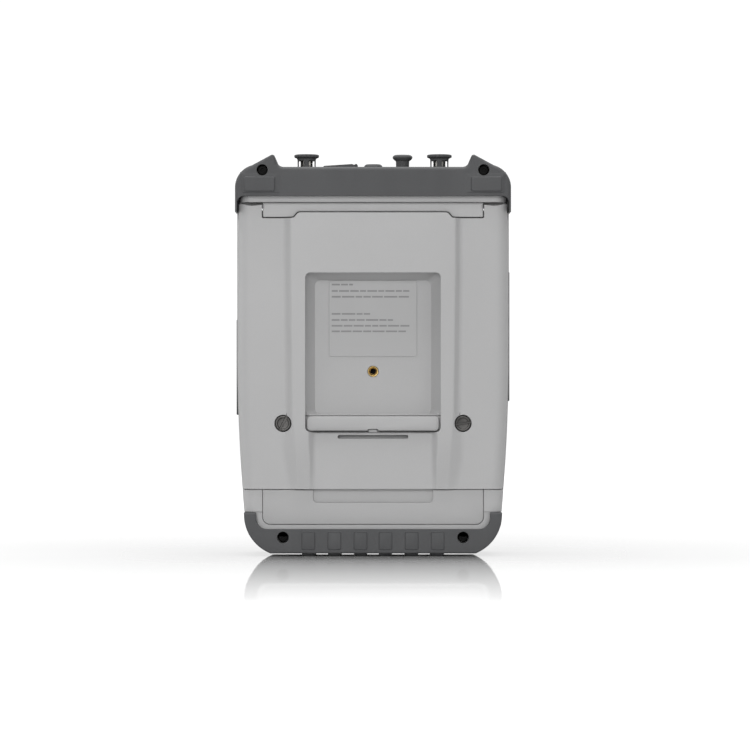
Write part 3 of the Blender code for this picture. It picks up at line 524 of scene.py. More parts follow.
def cut(target, *others):
    """Cuts the other shapes out of the target."""
    return boolean(target, others, "DIFFERENCE")


def join(target, *others):
    """Joins the other shapes onto the target."""
    return boolean(target, others, "UNION")


def merge(name, pieces):
    """Puts separate small shapes into one object without cutting them."""
    shape = bmesh.new()
    for piece in pieces:
        shape.from_mesh(piece.data)
        bpy.data.objects.remove(piece, do_unlink=True)
    return new_object(name, shape)


def piece(obj, name, material, body, slot, nodes=(), bevel=0.0, segments=2, angle=32.0):
    """Names a finished shape, eases its edges, hangs it under its body's empty and hides the CAD parts that
    it stands in for.

    With a bevel, edges sharper than the angle are rounded; without one they are shaded sharp.
    """
    obj.name = name
    obj.data.name = name
    obj.data.materials.clear()
    obj.data.materials.append(material)
    obj.data.shade_smooth()
    if bevel:
        edge = obj.modifiers.new("Edges", "BEVEL")
        edge.width = bevel
        edge.segments = segments
        edge.limit_method = "ANGLE"
        edge.angle_limit = math.radians(angle)
        edge.use_clamp_overlap = False
        edge.loop_slide = False
        edge.harden_normals = True
    else:
        obj.data.set_sharp_from_angle(angle=math.radians(angle))
        flat = obj.modifiers.new("Flats", "WEIGHTED_NORMAL")
        flat.keep_sharp = True
    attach(obj, body)
    if nodes:
        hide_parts(*nodes)
    return obj


def text_shape(name, words, size, depth, place, facing):
    """Raised or printed generic characters, centred on a point of a face."""
    curve = bpy.data.curves.new(name, "FONT")
    curve.body = words
    curve.size = size
    curve.extrude = depth
    curve.align_x = "CENTER"
    curve.align_y = "CENTER"
    curve.resolution_u = 3
    obj = bpy.data.objects.new(name, curve)
    bpy.context.scene.collection.objects.link(obj)
    bpy.context.view_layer.update()
    graph = bpy.context.evaluated_depsgraph_get()
    mesh = bpy.data.meshes.new_from_object(obj.evaluated_get(graph))
    bpy.data.objects.remove(obj, do_unlink=True)
    shape = bmesh.new()
    shape.from_mesh(mesh)
    bpy.data.meshes.remove(mesh)
    bmesh.ops.remove_doubles(shape, verts=shape.verts, dist=WELD)
    bmesh.ops.transform(shape, matrix=Matrix.Translation(place) @ facing, verts=shape.verts)
    return new_object(name, shape)


# ---------------------------------------------------------------- the housings' form
def body_outline(inset, low=BODY_BOTTOM, high=BODY_TOP):
    """The housing seen from the rear, with its sides drawn in by an inset."""
    low_middle = (half_width(low + LOW_CORNER) - inset - LOW_CORNER, low + LOW_CORNER)
    top_middle = (HALF_WIDTH - inset - TOP_CORNER, high - TOP_CORNER)
    heights = [low_middle[1] + (TAPER_START - low_middle[1]) * i / 10 for i in range(1, 11)]
    sides = [(half_width(z) - inset, z) for z in heights]
    right = arc(low_middle, LOW_CORNER, -90, 0, 14) + sides + arc(top_middle, TOP_CORNER, 0, 90, 12)
    return mirrored(right)


TOWER_X = (0.0741, 0.0836)        # the two posts that stand up into the horns
TOWER_TOP = 0.2806
TOWER_FRONT = -0.0270


def envelope():
    """Outer form of both housings: full width between the bumpers, stepped in beneath them."""
    core = prism("core", body_outline(UNDER_BUMPER), FRONT + GAP, REAR - GAP, EDGE, 8)
    full = prism("full", body_outline(0, -0.01, 0.30), FRONT, REAR, EDGE, 8)
    band = block("band", (-SIDEWAYS, SIDEWAYS), (FRONT - 0.01, REAR + 0.01), (STEP_LOW, STEP_HIGH))
    boolean(full, [band], "INTERSECT")
    join(core, full)
    towers = [
        block("tower", sorted((sign * TOWER_X[0], sign * TOWER_X[1])), (TOWER_FRONT, SCREW_SEAT),
              (0.262, TOWER_TOP), 0.0012)
        for sign in (1, -1)
    ]
    return join(core, *towers)


def screw_places():
    """Names and centres of the four long housing screws, seen from the rear."""
    for row, (x, z) in (("top", TOP_SCREW), ("bottom", LOW_SCREW)):
        for word, sign in (("right", 1), ("left", -1)):
            yield f"{row}_{word}", sign * x, z


MOUTH_INNER = 0.088       # where a side socket's opening starts, and its room round the socket
MOUTH_ROOM = 0.0018


def side_seats():
    """Cutters for the doors' seats and the sockets' mouths."""
    cutters = []
    for name in ("right_port_door", "left_port_door"):
        low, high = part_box(name)
        sign = 1 if high[0] > 0 else -1
        inner = min(abs(low[0]), abs(high[0]))
        xs = sorted((sign * (inner - GAP), sign * SIDEWAYS))
        cutters.append(
            block("seat", xs, (low[1] - GAP, high[1] + GAP), (low[2] - GAP, high[2] + GAP))
        )
    for name in ("audio_jack", "lan_socket", "dc_inlet"):
        low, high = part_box(name)
        sign = 1 if high[0] > 0 else -1
        xs = sorted((sign * MOUTH_INNER, sign * SIDEWAYS))
        ys = (low[1] - MOUTH_ROOM, high[1] + MOUTH_ROOM)
        cutters.append(block("mouth", xs, ys, (low[2] - MOUTH_ROOM, high[2] + MOUTH_ROOM)))
    return cutters


def well():
    """The opening in the top that the connector panel fills."""
    low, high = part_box("connector_panel")
    xs = (low[0] - GAP, high[0] + GAP)
    return block("well", xs, (low[1] - GAP, high[1] + GAP), (0.2600, OVERHEAD_Z))


# ---------------------------------------------------------------- housings
def key_boxes():
    """Every key's name and box."""
    names = [
        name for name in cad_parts
        if name.startswith(("softkey_", "key_")) or name == "power_key"
    ]
    return [(name, *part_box(name)) for name in sorted(names)]


KEY_RIM = 0.0010          # how far a key's hidden flange stands out round its cap


def half_space(y0, y1):
    """All that lies between two depths, for parting the housing at its middle."""
    return block("trim", (-0.12, 0.12), (y0, y1), (UNDERNEATH, 0.32))


def grown(low, high, margin, radius, steps=8):
    """The rounded outline of a box seen from the rear, with a margin round it."""
    return rounded(low[0] - margin, high[0] + margin, low[2] - margin, high[2] + margin, radius, steps)


def make_front_housing():
    """The screen side of the casing, with its windows for glass, keys and dial."""
    housing = envelope()
    hollow = prism("hollow", body_outline(0.0055, 0.0090, 0.2740), FRONT + 0.0025, 0.01)
    cut(housing, half_space(-GAP / 2, BEHIND), hollow)
    bosses = [
        rod("boss", (sign * LOW_SCREW[0], FRONT + 0.006, LOW_SCREW[1]),
            (sign * LOW_SCREW[0], -GAP / 2, LOW_SCREW[1]), 0.0054)
        for sign in (1, -1)
    ]
    join(housing, *bosses)
    pilots = [rod("pilot", (x, -0.022, z), (x, 0.01, z), 0.0019, 20) for _, x, z in screw_places()]
    low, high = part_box("display_glass")
    view = rounded(low[0] + 0.0075, high[0] - 0.0075, low[2] + 0.006, high[2] - 0.006, 0.002)
    cut(
        housing, *pilots, well(),
        prism("seat", grown(low, high, GAP, 0.004), FRONT - 0.01, FRONT + 0.0015),
        prism("view", view, FRONT - 0.01, FRONT + 0.01),
    )
    bezel = prism("bezel", grown(low, high, 0.0042, 0.0075), FRONT - 0.01, FRONT + 0.0004)
    cut(bezel, prism("bezel_core", grown(low, high, 0.0034, 0.0068), FRONT - 0.02, FRONT + 0.01))
    holes = [bezel]
    for name, low, high in key_boxes():
        corner = 0.0030 if name == "power_key" else 0.0022
        outline = grown(low, high, GAP - KEY_RIM, corner, 5)
        holes.append(prism("hole", outline, FRONT - 0.01, FRONT + 0.01))
    low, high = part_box("jog_dial")
    x, z = ((low[0] + high[0]) / 2, (low[2] + high[2]) / 2)
    holes.append(rod("shaft", (x, FRONT - 0.01, z), (x, FRONT + 0.01, z), 0.0042))
    ring = rod("ring", (x, FRONT - 0.01, z), (x, FRONT + 0.0006, z), 0.0192, 72)
    cut(ring, rod("ring_core", (x, FRONT - 0.02, z), (x, FRONT + 0.01, z), 0.0180, 72))
    cut(housing, ring, *holes, *side_seats())
    piece(housing, "front_shell", LIGHT, "case", "light_plastic", ["front_housing"], 0.00035)


def recess_cutter():
    """The sloping pocket behind the stand's window."""
    mouth = rounded(-WINDOW_HALF, WINDOW_HALF, FLOOR_LOW, WINDOW_HIGH, 0.004)
    floor = rounded(-0.0420, 0.0420, FLOOR_LOW, 0.1990, 0.004)
    return stacked("recess", ((0.0285, mouth), (0.0262, mouth), (FLOOR_Y, floor)))


def make_rear_housing():
    """The stand side of the casing: recess, battery bay, hinge trough and rim under the bumper."""
    housing = envelope()
    rebate = block("rebate", (-SIDEWAYS, SIDEWAYS), (FLANGE_Y - 0.0004, BEHIND), (0.0477, 0.2549))
    cut(rebate, prism("kept", body_outline(0.0046, -0.01, 0.30), IN_FRONT, 0.0262, 0.005))
    cut(
        housing, half_space(IN_FRONT, GAP / 2), rebate,
        block("trough", (-SIDEWAYS, SIDEWAYS), (0.0175, BEHIND), (0.2425, 0.2549)),
        prism("upper", rounded(-0.0915, 0.0915, 0.1045, 0.2735, 0.006), -0.01, 0.0142),
    )
    flanks = prism("flanks", rounded(-0.0870, 0.0870, 0.1080, 0.2380, 0.004), 0.010, 0.0234)
    cut(flanks, block("tub", (-0.0525, 0.0525), (0.0, 0.03), (0.100, 0.2080)))
    low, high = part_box("battery_cover")
    seat = rounded(low[0] - GAP, high[0] + GAP, low[2] - GAP, 0.1008 + GAP, 0.0056)
    cut(
        housing, flanks, recess_cutter(), prism("seat", seat, 0.0232, BEHIND),
        prism("lower", rounded(-0.0850, 0.0850, 0.0225, 0.1060, 0.006), -0.01, 0.0022),
        block("bay", (-0.0760, 0.0760), (0.0050, 0.03), (0.0262, 0.0882)),
    )
    bores = [
        rod("coin_bore", (x, 0.012, COIN_Z), (x, 0.03, COIN_Z), 0.0027) for x in (COIN_X, -COIN_X)
    ]
    for _, x, z in screw_places():
        bore = rod("bore", (x, SCREW_SEAT - 0.0002, z), (x, BEHIND, z), SCREW_HOLE)
        bores.append(join(bore, rod("shank", (x, -0.01, z), (x, 0.03, z), 0.0021)))
    join(housing, rod("insert_boss", (0, 0.0064, INSERT_Z), (0, 0.0160, INSERT_Z), 0.0064))
    bores.append(rod("insert_bore", (0, 0.0072, INSERT_Z), (0, 0.03, INSERT_Z), 0.0040))
    cut(housing, well(), *bores, *side_seats())
    piece(housing, "rear_shell", LIGHT, "case", "light_plastic", ["rear_housing"], 0.00035)


# ---------------------------------------------------------------- bumpers
def top_outline():
    """The top bumper from the rear, and its rims: two horns, a low middle and long skirts."""
    half = BUMPER_HIGH[0]
    runs = (
        # points, radius of the rim beside them: skirt, shoulder, horn's tip, horn's foot
        ([(half, BUMPER_LOW[2])], 0.0030),
        (arc((half - 0.0165, 0.2655), 0.0165, 0, 75, 20), 0.0030),
        (arc((0.0725, 0.2870), 0.0020, 60, 158, 8), 0.0017),
        (arc((0.0645, 0.2850), 0.0047, -22, -90, 8), 0.0030),
    )
    rims = [rim for points, rim in runs for _ in points]
    return mirrored([point for points, rim in runs for point in points]), rims + rims[::-1]


def raised_pad(sign):
    """A corner pad: a soft swell in the rear face with a flat block on it."""
    layers = []
    for y, x0, x1, z0, z1 in (
        (0.0300, 0.0640, 0.0960, 0.2600, 0.2768), (0.0329, 0.0652, 0.0952, 0.2611, 0.2760),
        (0.0334, 0.0672, 0.0944, 0.2616, 0.2750), (0.0337, 0.0700, 0.0934, 0.2620, 0.2738),
        (0.0338, 0.0704, 0.0928, 0.2623, 0.2733), (0.0345, 0.0707, 0.0925, 0.2626, 0.2730),
        (0.0348, 0.0711, 0.0921, 0.2630, 0.2726), (0.0349, 0.0716, 0.0916, 0.2635, 0.2721),
    ):
        layers.append((y, rounded(*sorted((sign * x0, sign * x1)), z0, z1, 0.0014, 5)))
    return stacked("pad", layers)


def screw_holes(place, y):
    """The two holes over a pair of housing screws."""
    x, z = place
    return [rod("hole", (side, y, z), (side, BEHIND, z), SCREW_HOLE, 48) for side in (x, -x)]


def make_top_bumper():
    """Soft guard over the top: corner pads, two horns and a well round the connectors."""
    bumper = rimmed("bumper", *top_outline(), BUMPER_LOW[1], BUMPER_FACE)
    raised = [raised_pad(sign) for sign in (1, -1)]
    join(bumper, *raised)
    inner = prism(
        "inner", body_outline(UNDER_BUMPER - GAP, UNDERNEATH, BODY_TOP + GAP), FRONT - GAP, REAR + GAP,
        EDGE, 8,
    )
    towers = []
    for sign in (1, -1):
        xs = sorted((sign * (TOWER_X[0] - GAP), sign * (TOWER_X[1] + GAP)))
        ys = (TOWER_FRONT - GAP, SCREW_SEAT + GAP)
        towers.append(block("tower", xs, ys, (0.2500, TOWER_TOP + GAP)))
    mouth = prism("mouth", rounded(-0.0655, 0.0655, -0.0225, 0.0245, 0.004), -OVERHEAD_Z, -0.262)
    mouth.data.transform(Matrix.Rotation(-math.pi / 2, 4, "X"))
    holes = screw_holes(TOP_SCREW, 0.022)
    cut(
        bumper, inner, *towers, mouth, *holes,
        prism("rear_edge", rounded(-0.0980, 0.0980, 0.200, RIM_Z, 0.005), 0.0160, BEHIND),
        prism("front_edge", rounded(-0.0945, 0.0945, 0.200, 0.2680, 0.006), IN_FRONT, FRONT + 0.004),
    )
    piece(bumper, "top_guard", GUARD, "case", "bumper_plastic", ["top_bumper"])


BUMPER_FACE = 0.0330
FOOT_HEIGHT = 0.002
FEET_X = (-0.0465, -0.0278, -0.009, 0.009, 0.0278, 0.0465)
FOOT_WIDTH = 0.0094
RIB_TOP = 0.0175


def bottom_outline():
    """The bottom bumper from the rear, up to its two ends beside the battery cover."""
    middle = (half_width(0.030) - 0.0300, 0.030)
    right = [(middle[0] - 0.006, FOOT_HEIGHT)] + arc(middle, 0.0300, -69, 0, 20)
    right += [(half_width(STEP_LOW), STEP_LOW - GAP)]
    return mirrored(right)


def make_bottom_bumper():
    """Soft shoe that the instrument stands on: six feet that run up its faces as ribs."""
    bumper = prism("bumper", bottom_outline(), SHOE_LOW[1], BUMPER_FACE, 0.0035, 6)
    feet = []
    for x in FEET_X:
        foot = rounded(x - FOOT_WIDTH / 2, x + FOOT_WIDTH / 2, 0.0, 0.0060, 0.0012, 4)
        feet.append(prism("foot", foot, -0.0280, 0.0270, 0.0008, 3))
        rib = rounded(x - FOOT_WIDTH / 2, x + FOOT_WIDTH / 2, 0.0048, RIB_TOP, 0.0012, 4)
        feet.append(prism("rib", rib, 0.0250, BUMPER_FACE + 0.0003, 0.0003, 3))
    join(bumper, *feet)
    inner = prism(
        "inner", body_outline(UNDER_BUMPER - GAP, BODY_BOTTOM - GAP, 0.30), FRONT - GAP, REAR + GAP,
        EDGE, 8,
    )
    holes = screw_holes(LOW_SCREW, 0.018)
    cut(
        bumper, inner, *holes,
        prism("rear_edge", rounded(-0.0842, 0.0842, 0.0195, 0.10, 0.0078), 0.0150, BEHIND),
        prism("front_edge", rounded(-0.0860, 0.0860, 0.0165, 0.10, 0.009), IN_FRONT, FRONT + 0.004),
    )
    piece(bumper, "bottom_guard", GUARD, "case", "bumper_plastic", ["bottom_bumper"], 0.0005, 3)


# ---------------------------------------------------------------- the folding stand
def smooth_between(z, table, reach=0.006):
    """Value at a height from (height, value) pairs, with the corners of the run averaged out."""
    total = 0.0
    samples = 7
    for i in range(samples):
        at = z + reach * (2 * i / (samples - 1) - 1)
        value = table[-1][1] if at > table[-1][0] else table[0][1]
        for (z0, v0), (z1, v1) in zip(table, table[1:]):
            if z0 <= at <= z1:
                value = v0 + (v1 - v0) * (at - z0) / (z1 - z0)
        total += value
    return total / samples


STAND_BOTTOM = STAND_LOW[2]
# (height, value) along the stand: a rail's outer edge, the width of the slope outside it, the
# rail's top and the middle field
RAIL_X = ((STAND_BOTTOM, 0.0545), (0.1035, 0.0583), (WINDOW_HIGH, 0.0595))
SLOPE = (
    (STAND_BOTTOM, 0.0050), (0.060, 0.0070), (0.075, 0.0085), (0.088, 0.0070), (0.1035, 0.0036),
)
CREST_Y = ((STAND_BOTTOM, 0.0314), (0.060, 0.0330), (0.075, 0.0346), (0.088, CREST))
MIDDLE_Y = ((STAND_BOTTOM, 0.0302), (0.1035, 0.0305), (TAPER_START, CREST))


def stand_section(z, skin):
    """Half of the stand's section from its side flange to the middle, as (x, y)."""
    radius = SIDE_ROUND - skin
    near_hinge = z > 0.243
    first = 22 if near_hinge else 0
    drop = 0.0004 if near_hinge else PANEL - SIDE_ROUND - FLANGE_Y
    middle = (half_width(z) - STAND_INSET - SIDE_ROUND, PANEL - SIDE_ROUND)
    corner = arc(middle, radius, first, 90, 16)
    flange = [(corner[0][0], corner[0][1] - drop)]
    rail = smooth_between(z, RAIL_X)
    crest = smooth_between(z, CREST_Y) - skin
    hollow = smooth_between(z, MIDDLE_Y, 0.010) - skin
    run = [
        corner[-1],
        (rail + smooth_between(z, SLOPE), PANEL - skin),
        (rail - 0.0004 - 0.7 * skin, crest - 0.0003),
        (RAIL_INNER_X + 0.0010 + 0.6 * skin, crest),
        (RAIL_INNER_X + 0.5 * skin, min(crest, hollow + 0.0035)),
        (RAIL_INNER_X - 0.0030, hollow),
        (0.0, hollow),
    ]
    eased = filleted(run, (0.0025, 0.0012, 0.0009, 0.0007, 0.0020), 6)
    return flange + corner + eased[1:]


PIN_BORE = 0.0018


def hinge_rod(name, x0, x1, radius, *more):
    """A round bar on the stand's hinge axis."""
    return rod(name, (x0, HINGE_Y, HINGE_Z), (x1, HINGE_Y, HINGE_Z), radius, *more)


def make_stand():
    """One moulding over the whole rear: side fields, two rails and a window, hinged at the top."""
    low = STAND_BOTTOM
    heights = [low + 0.0028 * i for i in range(70)]
    heights += [0.2440, 0.2460, 0.2500, 0.2530, STAND_HIGH[2]]
    shape = bmesh.new()
    rings = []
    for z in heights:
        outer = stand_section(z, 0.0)[:-1]
        inner = stand_section(z, SKIN)[:-1]
        loop = outer + [(-x, y) for x, y in reversed(outer)]
        loop += [(-x, y) for x, y in inner] + inner[::-1]
        rings.append([shape.verts.new((x, y, z)) for x, y in loop])
    close_loft(shape, rings)
    stand = new_object("stand_shape", shape)
    knuckles = []
    bores = []
    for sign in (1, -1):
        knuckles.append(hinge_rod("knuckle", sign * 0.0803, sign * 0.0890, 0.0028))
        bores.append(hinge_rod("bore", sign * 0.0780, sign * 0.0872, PIN_BORE))
        x = sign * COIN_X
        bores.append(rod("opening", (x, 0.0, COIN_Z), (x, FAR_BEHIND, COIN_Z), COIN_RADIUS + GAP, 64))
    join(stand, *knuckles)
    window = rounded(-WINDOW_HALF, WINDOW_HALF, WINDOW_LOW, WINDOW_HIGH, 0.0036)
    cut(stand, prism("window", window, 0.0, FAR_BEHIND))
    nib = rounded(-0.0031, 0.0031, WINDOW_LOW - 0.0012, WINDOW_LOW + 0.0013, 0.0006)
    join(stand, prism("nib", nib, 0.0282, 0.0302))
    slot = rounded(-0.0253, 0.0253, 0.0846, 0.0872, 0.0012)
    notch = filleted(
        [(0.0525, 0.2473), (0.0541, 0.2469), (0.0567, 0.2436), (0.0586, 0.2434), (0.0800, 0.2434),
         (0.0800, 0.2700)],
        (0.001, 0.001, 0.001, 0.0010),
    )
    dips = []
    for sign in (1, -1):
        dip = filleted(
            [(sign * x, z) for x, z in (
                (0.0798, 0.2560), (0.0798, 0.2531), (0.0880, 0.2522), (0.0962, 0.2540), (0.0962, 0.2560),
            )],
            (0.0002, 0.003, 0.0002), 4,
        )
        dips.append(prism("dip", dip, 0.0, FAR_BEHIND))
    cut(
        stand, prism("slot", slot, 0.0, FAR_BEHIND), prism("notch", mirrored(notch), 0.0, FAR_BEHIND),
        *bores, *dips,
    )
    piece(stand, "folding_stand", LIGHT, "stand", "light_plastic", ["stand"], 0.0003, 2, 38)


def make_hinge():
    """The bar across the top of the rear that the stand's two pins sit in."""
    low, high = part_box("hinge_bar")
    right = filleted(
        [
            (0.0530, 0.2480), (0.0546, 0.2476), (0.0572, 0.2443), (0.0590, low[2]), (high[0], low[2]),
            (high[0], high[2]),
        ],
        (0.001, 0.001, 0.001, 0.0012),
    )
    outline = mirrored(right)
    rims = [0.0009 if z < 0.2490 else 0.0022 for _, z in outline]
    bar = rimmed("bar", outline, rims, low[1], high[1])
    bores = [hinge_rod("bore", sign * 0.0640, sign * 0.0850, PIN_BORE) for sign in (1, -1)]
    cut(bar, *bores)
    piece(bar, "hinge_rail", LIGHT, "case", "light_plastic", ["hinge_bar"], 0.0003)
    for word in ("right", "left"):
        low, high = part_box(f"hinge_pin_{word}")
        pin = hinge_rod("pin", low[0], high[0], (high[2] - low[2]) / 2, 32, 0.0003)
        piece(pin, f"stand_pin_{word}", STEEL, "case", "steel", [f"hinge_pin_{word}"])


# ---------------------------------------------------------------- battery cover and fasteners
def make_battery_cover():
    """Lid over the battery bay: a flat plate, a finger recess and a latch ledge."""
    low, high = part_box("battery_cover")
    cover = prism("cover", grown(low, high, 0.0, 0.0053), low[1], 0.0275, 0.0004, 2, 1)
    grip_rim = rounded(-0.0432, 0.0432, 0.0385, 0.0600, 0.0030)
    cut(
        cover, block("step", (-SIDEWAYS, SIDEWAYS), (0.0260, BEHIND), (0.0477, 0.2)),
        prism("grip", grip_rim, 0.0250, BEHIND),
    )
    half = WINDOW_HALF - 0.0011
    ledge = rounded(-half, half, WINDOW_LOW + 0.0008, high[2], 0.0030)
    join(cover, prism("ledge", ledge, 0.0250, high[1], 0.0006, 4, 1))
    holes = [
        rod("hole", (x, 0.0, COIN_Z), (x, FAR_BEHIND, COIN_Z), 0.0027) for x in (COIN_X, -COIN_X)
    ]
    notch = rounded(-0.0038, 0.0038, 0.0850, WINDOW_LOW + 0.0021, 0.0008, 4)
    behind_slot = block("behind_slot", (-0.0262, 0.0262), (0.0238, 0.0300), (0.0840, 0.0878))
    cut(cover, prism("notch", notch, 0.0276, BEHIND), behind_slot, *holes)
    piece(cover, "battery_lid", LIGHT, "case", "light_plastic", ["battery_cover"], 0.0003)


def make_cover_screws():
    """Two quarter-turn screws with a coin slot that hold the battery cover."""
    for word, sign, slot_angle in (("right", 1, 62), ("left", -1, 10)):
        x = sign * COIN_X
        node = f"cover_screw_{word}"
        low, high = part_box(node)
        top = high[1]
        profile = soft_profile(
            [(0.0, top - 0.0005), (COIN_RADIUS - 0.0021, top - 0.0005), (COIN_RADIUS - 0.0017, top),
             (COIN_RADIUS - 0.0004, top), (COIN_RADIUS, top - 0.0006), (COIN_RADIUS, top - 0.0023),
             (0.0, top - 0.0023)],
            0.0004,
        )
        screw = turned("coin", [(radius, -y) for radius, y in profile], (x, 0, COIN_Z), 64, "Y")
        join(screw, rod("shank", (x, low[1], COIN_Z), (x, top - 0.0016, COIN_Z), 0.0022, 24))
        blade = block("slot", (-0.008, 0.008), (top - 0.0017, 0.04), (-0.00085, 0.00085))
        turn = Matrix.Rotation(math.radians(slot_angle), 4, "Y")
        blade.data.transform(Matrix.Translation((x, 0, COIN_Z)) @ turn)
        cut(screw, blade)
        piece(screw, f"coin_screw_{word}", BLACKED, node, "dark_steel", [node], 0.00015)


def make_housing_screws():
    """Four long screws deep in their holes, with hexagon sockets; their heads are near-black, their own
    dark finish plus painted shade of the deep holes.
    """
    for name, x, z in screw_places():
        node = f"housing_screw_{name}"
        low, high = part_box(node)
        head = rod("head", (x, high[1] - 0.0026, z), (x, high[1], z), 0.0036, 40, 0.0004)
        join(head, rod("shank", (x, low[1], z), (x, high[1] - 0.0020, z), 0.0016, 20))
        cut(head, rod("socket", (x, high[1] - 0.0014, z), (x, 0.04, z), 0.0015, 6))
        piece(head, f"case_screw_{name}", DARK_SCREW_AND_PAINTED_SHADE, "case", "dark_steel", [node], 0.0001)


def make_rear_fittings():
    """The brass tripod insert with ridges for its thread and a near-black disc at its bottom that paints
    the shade inside the bore, and the rating label.
    """
    low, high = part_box("tripod_insert")
    steps = 36
    turns = 7
    pitch = (high[1] - low[1] - 0.0012) / turns
    outer = soft_profile(
        [(0.0025, high[1] - 0.0010), (0.0031, high[1] - 0.0001), (0.0036, high[1]),
         (0.0037, high[1] - 0.0003), (0.0037, low[1]), (0.0024, low[1])], 0.0001, 2,
    )
    thread = []
    for i in range(turns * 6 + 1):
        depth = low[1] + pitch * i / 6
        thread.append((0.0025 - 0.0003 * abs(math.cos(math.pi * i / 6)), depth))
    profile = [(radius, -y) for radius, y in outer + thread + [outer[0]]]
    insert = turned("insert", profile, (0, 0, INSERT_Z), steps, "Y")
    piece(insert, "tripod_bush", BRASS, "case", "brass", ["tripod_insert"])
    # A near-black disc at the bottom of the bush: painted shade inside the bore.
    plug = rod("plug", (0, low[1] + 0.0002, INSERT_Z), (0, low[1] + 0.0010, INSERT_Z), 0.0021, steps)
    piece(plug, "tripod_bush_painted_shade", DARK_SCREW_AND_PAINTED_SHADE, "case", "dark_plastic")
    low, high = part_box("label_plate")
    plate = prism("plate", grown(low, high, 0.0, 0.0012, 5), low[1], high[1], 0.00008, 1, 1)
    piece(plate, "rating_label", FILM, "case", "label_film", ["label_plate"])
    print_label(high)


LABEL_MARGIN = 0.0018
WORD_GAP = 0.0009
BAR_HALF = 0.0006         # half the height of a printed bar


def print_label(high):
    """Short bars in place of words: two headings with the lines under them."""
    picker = random.Random(7)
    bars = []
    face = high[1]
    lines = (
        # distance under the upper edge, length
        (0.0028, 0.0154), (0.0074, 0.0585), (0.0116, 0.0570), (0.0240, 0.0278), (0.0284, 0.0444),
        (0.0326, 0.0585), (0.0366, 0.0560),
    )
    for drop, length in lines:
        x = high[0] - LABEL_MARGIN
        z = high[2] - drop
        end = x - length
        while x > end + 0.0020:
            width = min(picker.uniform(0.0040, 0.0100), x - end)
            zs = (z - BAR_HALF, z + BAR_HALF)
            bars.append(block("bar", (x - width, x), (face - 0.0001, face + 0.00006), zs))
            x -= width + WORD_GAP
    printed = merge("print", bars)
    piece(printed, "label_print", PRINT, "case", "label_film")


# ---------------------------------------------------------------- connector panel and its caps
def middle_x(node):
    """The x of a node's middle."""
    low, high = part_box(node)
    return (low[0] + high[0]) / 2


THROUGH_PANEL = (0.26, 0.28)


def port_rod(name, x, z0, z1, radius, steps):
    """An upright bar in the row of connectors."""
    return rod(name, (x, PORT_Y, z0), (x, PORT_Y, z1), radius, steps)


def make_connector_panel():
    """The plate between the horns, with a raised ring round each connector."""
    low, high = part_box("connector_panel")
    panel = block("panel", (low[0], high[0]), (low[1], high[1]), (low[2], high[2]))
    ports = [(middle_x(node), radius) for node, radius in PANEL_HOLES]
    rings = [
        port_rod("ring", x, high[2] - 0.001, high[2] + 0.0003, radius + 0.0028, 48)
        for x, radius in ports
    ]
    join(panel, *rings)
    holes = [port_rod("hole", x, *THROUGH_PANEL, radius, 48) for x, radius in ports]
    usb = middle_x("usb_socket")
    slot = block("slot", (usb - 0.0078, usb + 0.0078), (PORT_Y - 0.0042, PORT_Y + 0.0042), THROUGH_PANEL)
    cut(panel, slot, *holes)
    piece(panel, "top_panel", DARK, "case", "dark_plastic", ["connector_panel"], 0.0002)


PANEL_HOLES = (
    # node, radius of its hole
    ("port_1_connector", 0.0062), ("port_2_connector", 0.0062), ("bnc_connector", 0.0054),
    ("trigger_jack", 0.0035),
)


def threaded(radius, low, high, pitch, depth):
    """Profile points down a threaded barrel."""
    count = int((high - low) / pitch)
    points = []
    for i in range(count):
        top = high - i * pitch
        points += [(radius, top), (radius - depth, top - pitch / 2)]
    return points


def make_test_port(number):
    """A threaded coaxial connector with a hexagon nut and a gold centre contact."""
    node = f"port_{number}_connector"
    x = middle_x(node)
    low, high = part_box(node)
    profile = [(0.0, 0.2795), (0.0030, 0.2795), (0.0034, high[2]), (0.0046, high[2])]
    profile += threaded(0.0047, 0.2745, high[2] - 0.0004, 0.0009, 0.0004)
    profile += [(0.0047, 0.2738), (0.0060, 0.2736), (0.0060, 0.2690), (0.0058, 0.2688)]
    profile += [(0.0058, 0.2610), (0.0030, 0.2605), (0.0030, low[2]), (0.0, low[2])]
    shell = turned("shell", profile, (x, PORT_Y, 0), 64)
    nut = port_rod("nut", x, 0.2690, 0.2728, 0.0082, 6)
    cut(nut, port_rod("nut_bore", x, *THROUGH_PANEL, 0.0059, 48))
    piece(shell, f"port_{number}_shell", PLATED, "case", "connector_metal", [node], 0.0, 2, 40)
    piece(nut, f"port_{number}_nut", PLATED, "case", "connector_metal", (), 0.0003)
    profile = soft_profile(
        [(0.0, 0.2856), (0.0006, 0.2856), (0.0007, 0.2850), (0.0007, 0.2796), (0.0, 0.2796)], 0.0002,
    )
    pin = turned("pin", profile, (x, PORT_Y, 0), 24)
    piece(pin, f"port_{number}_contact", GOLD, "case", "brass")


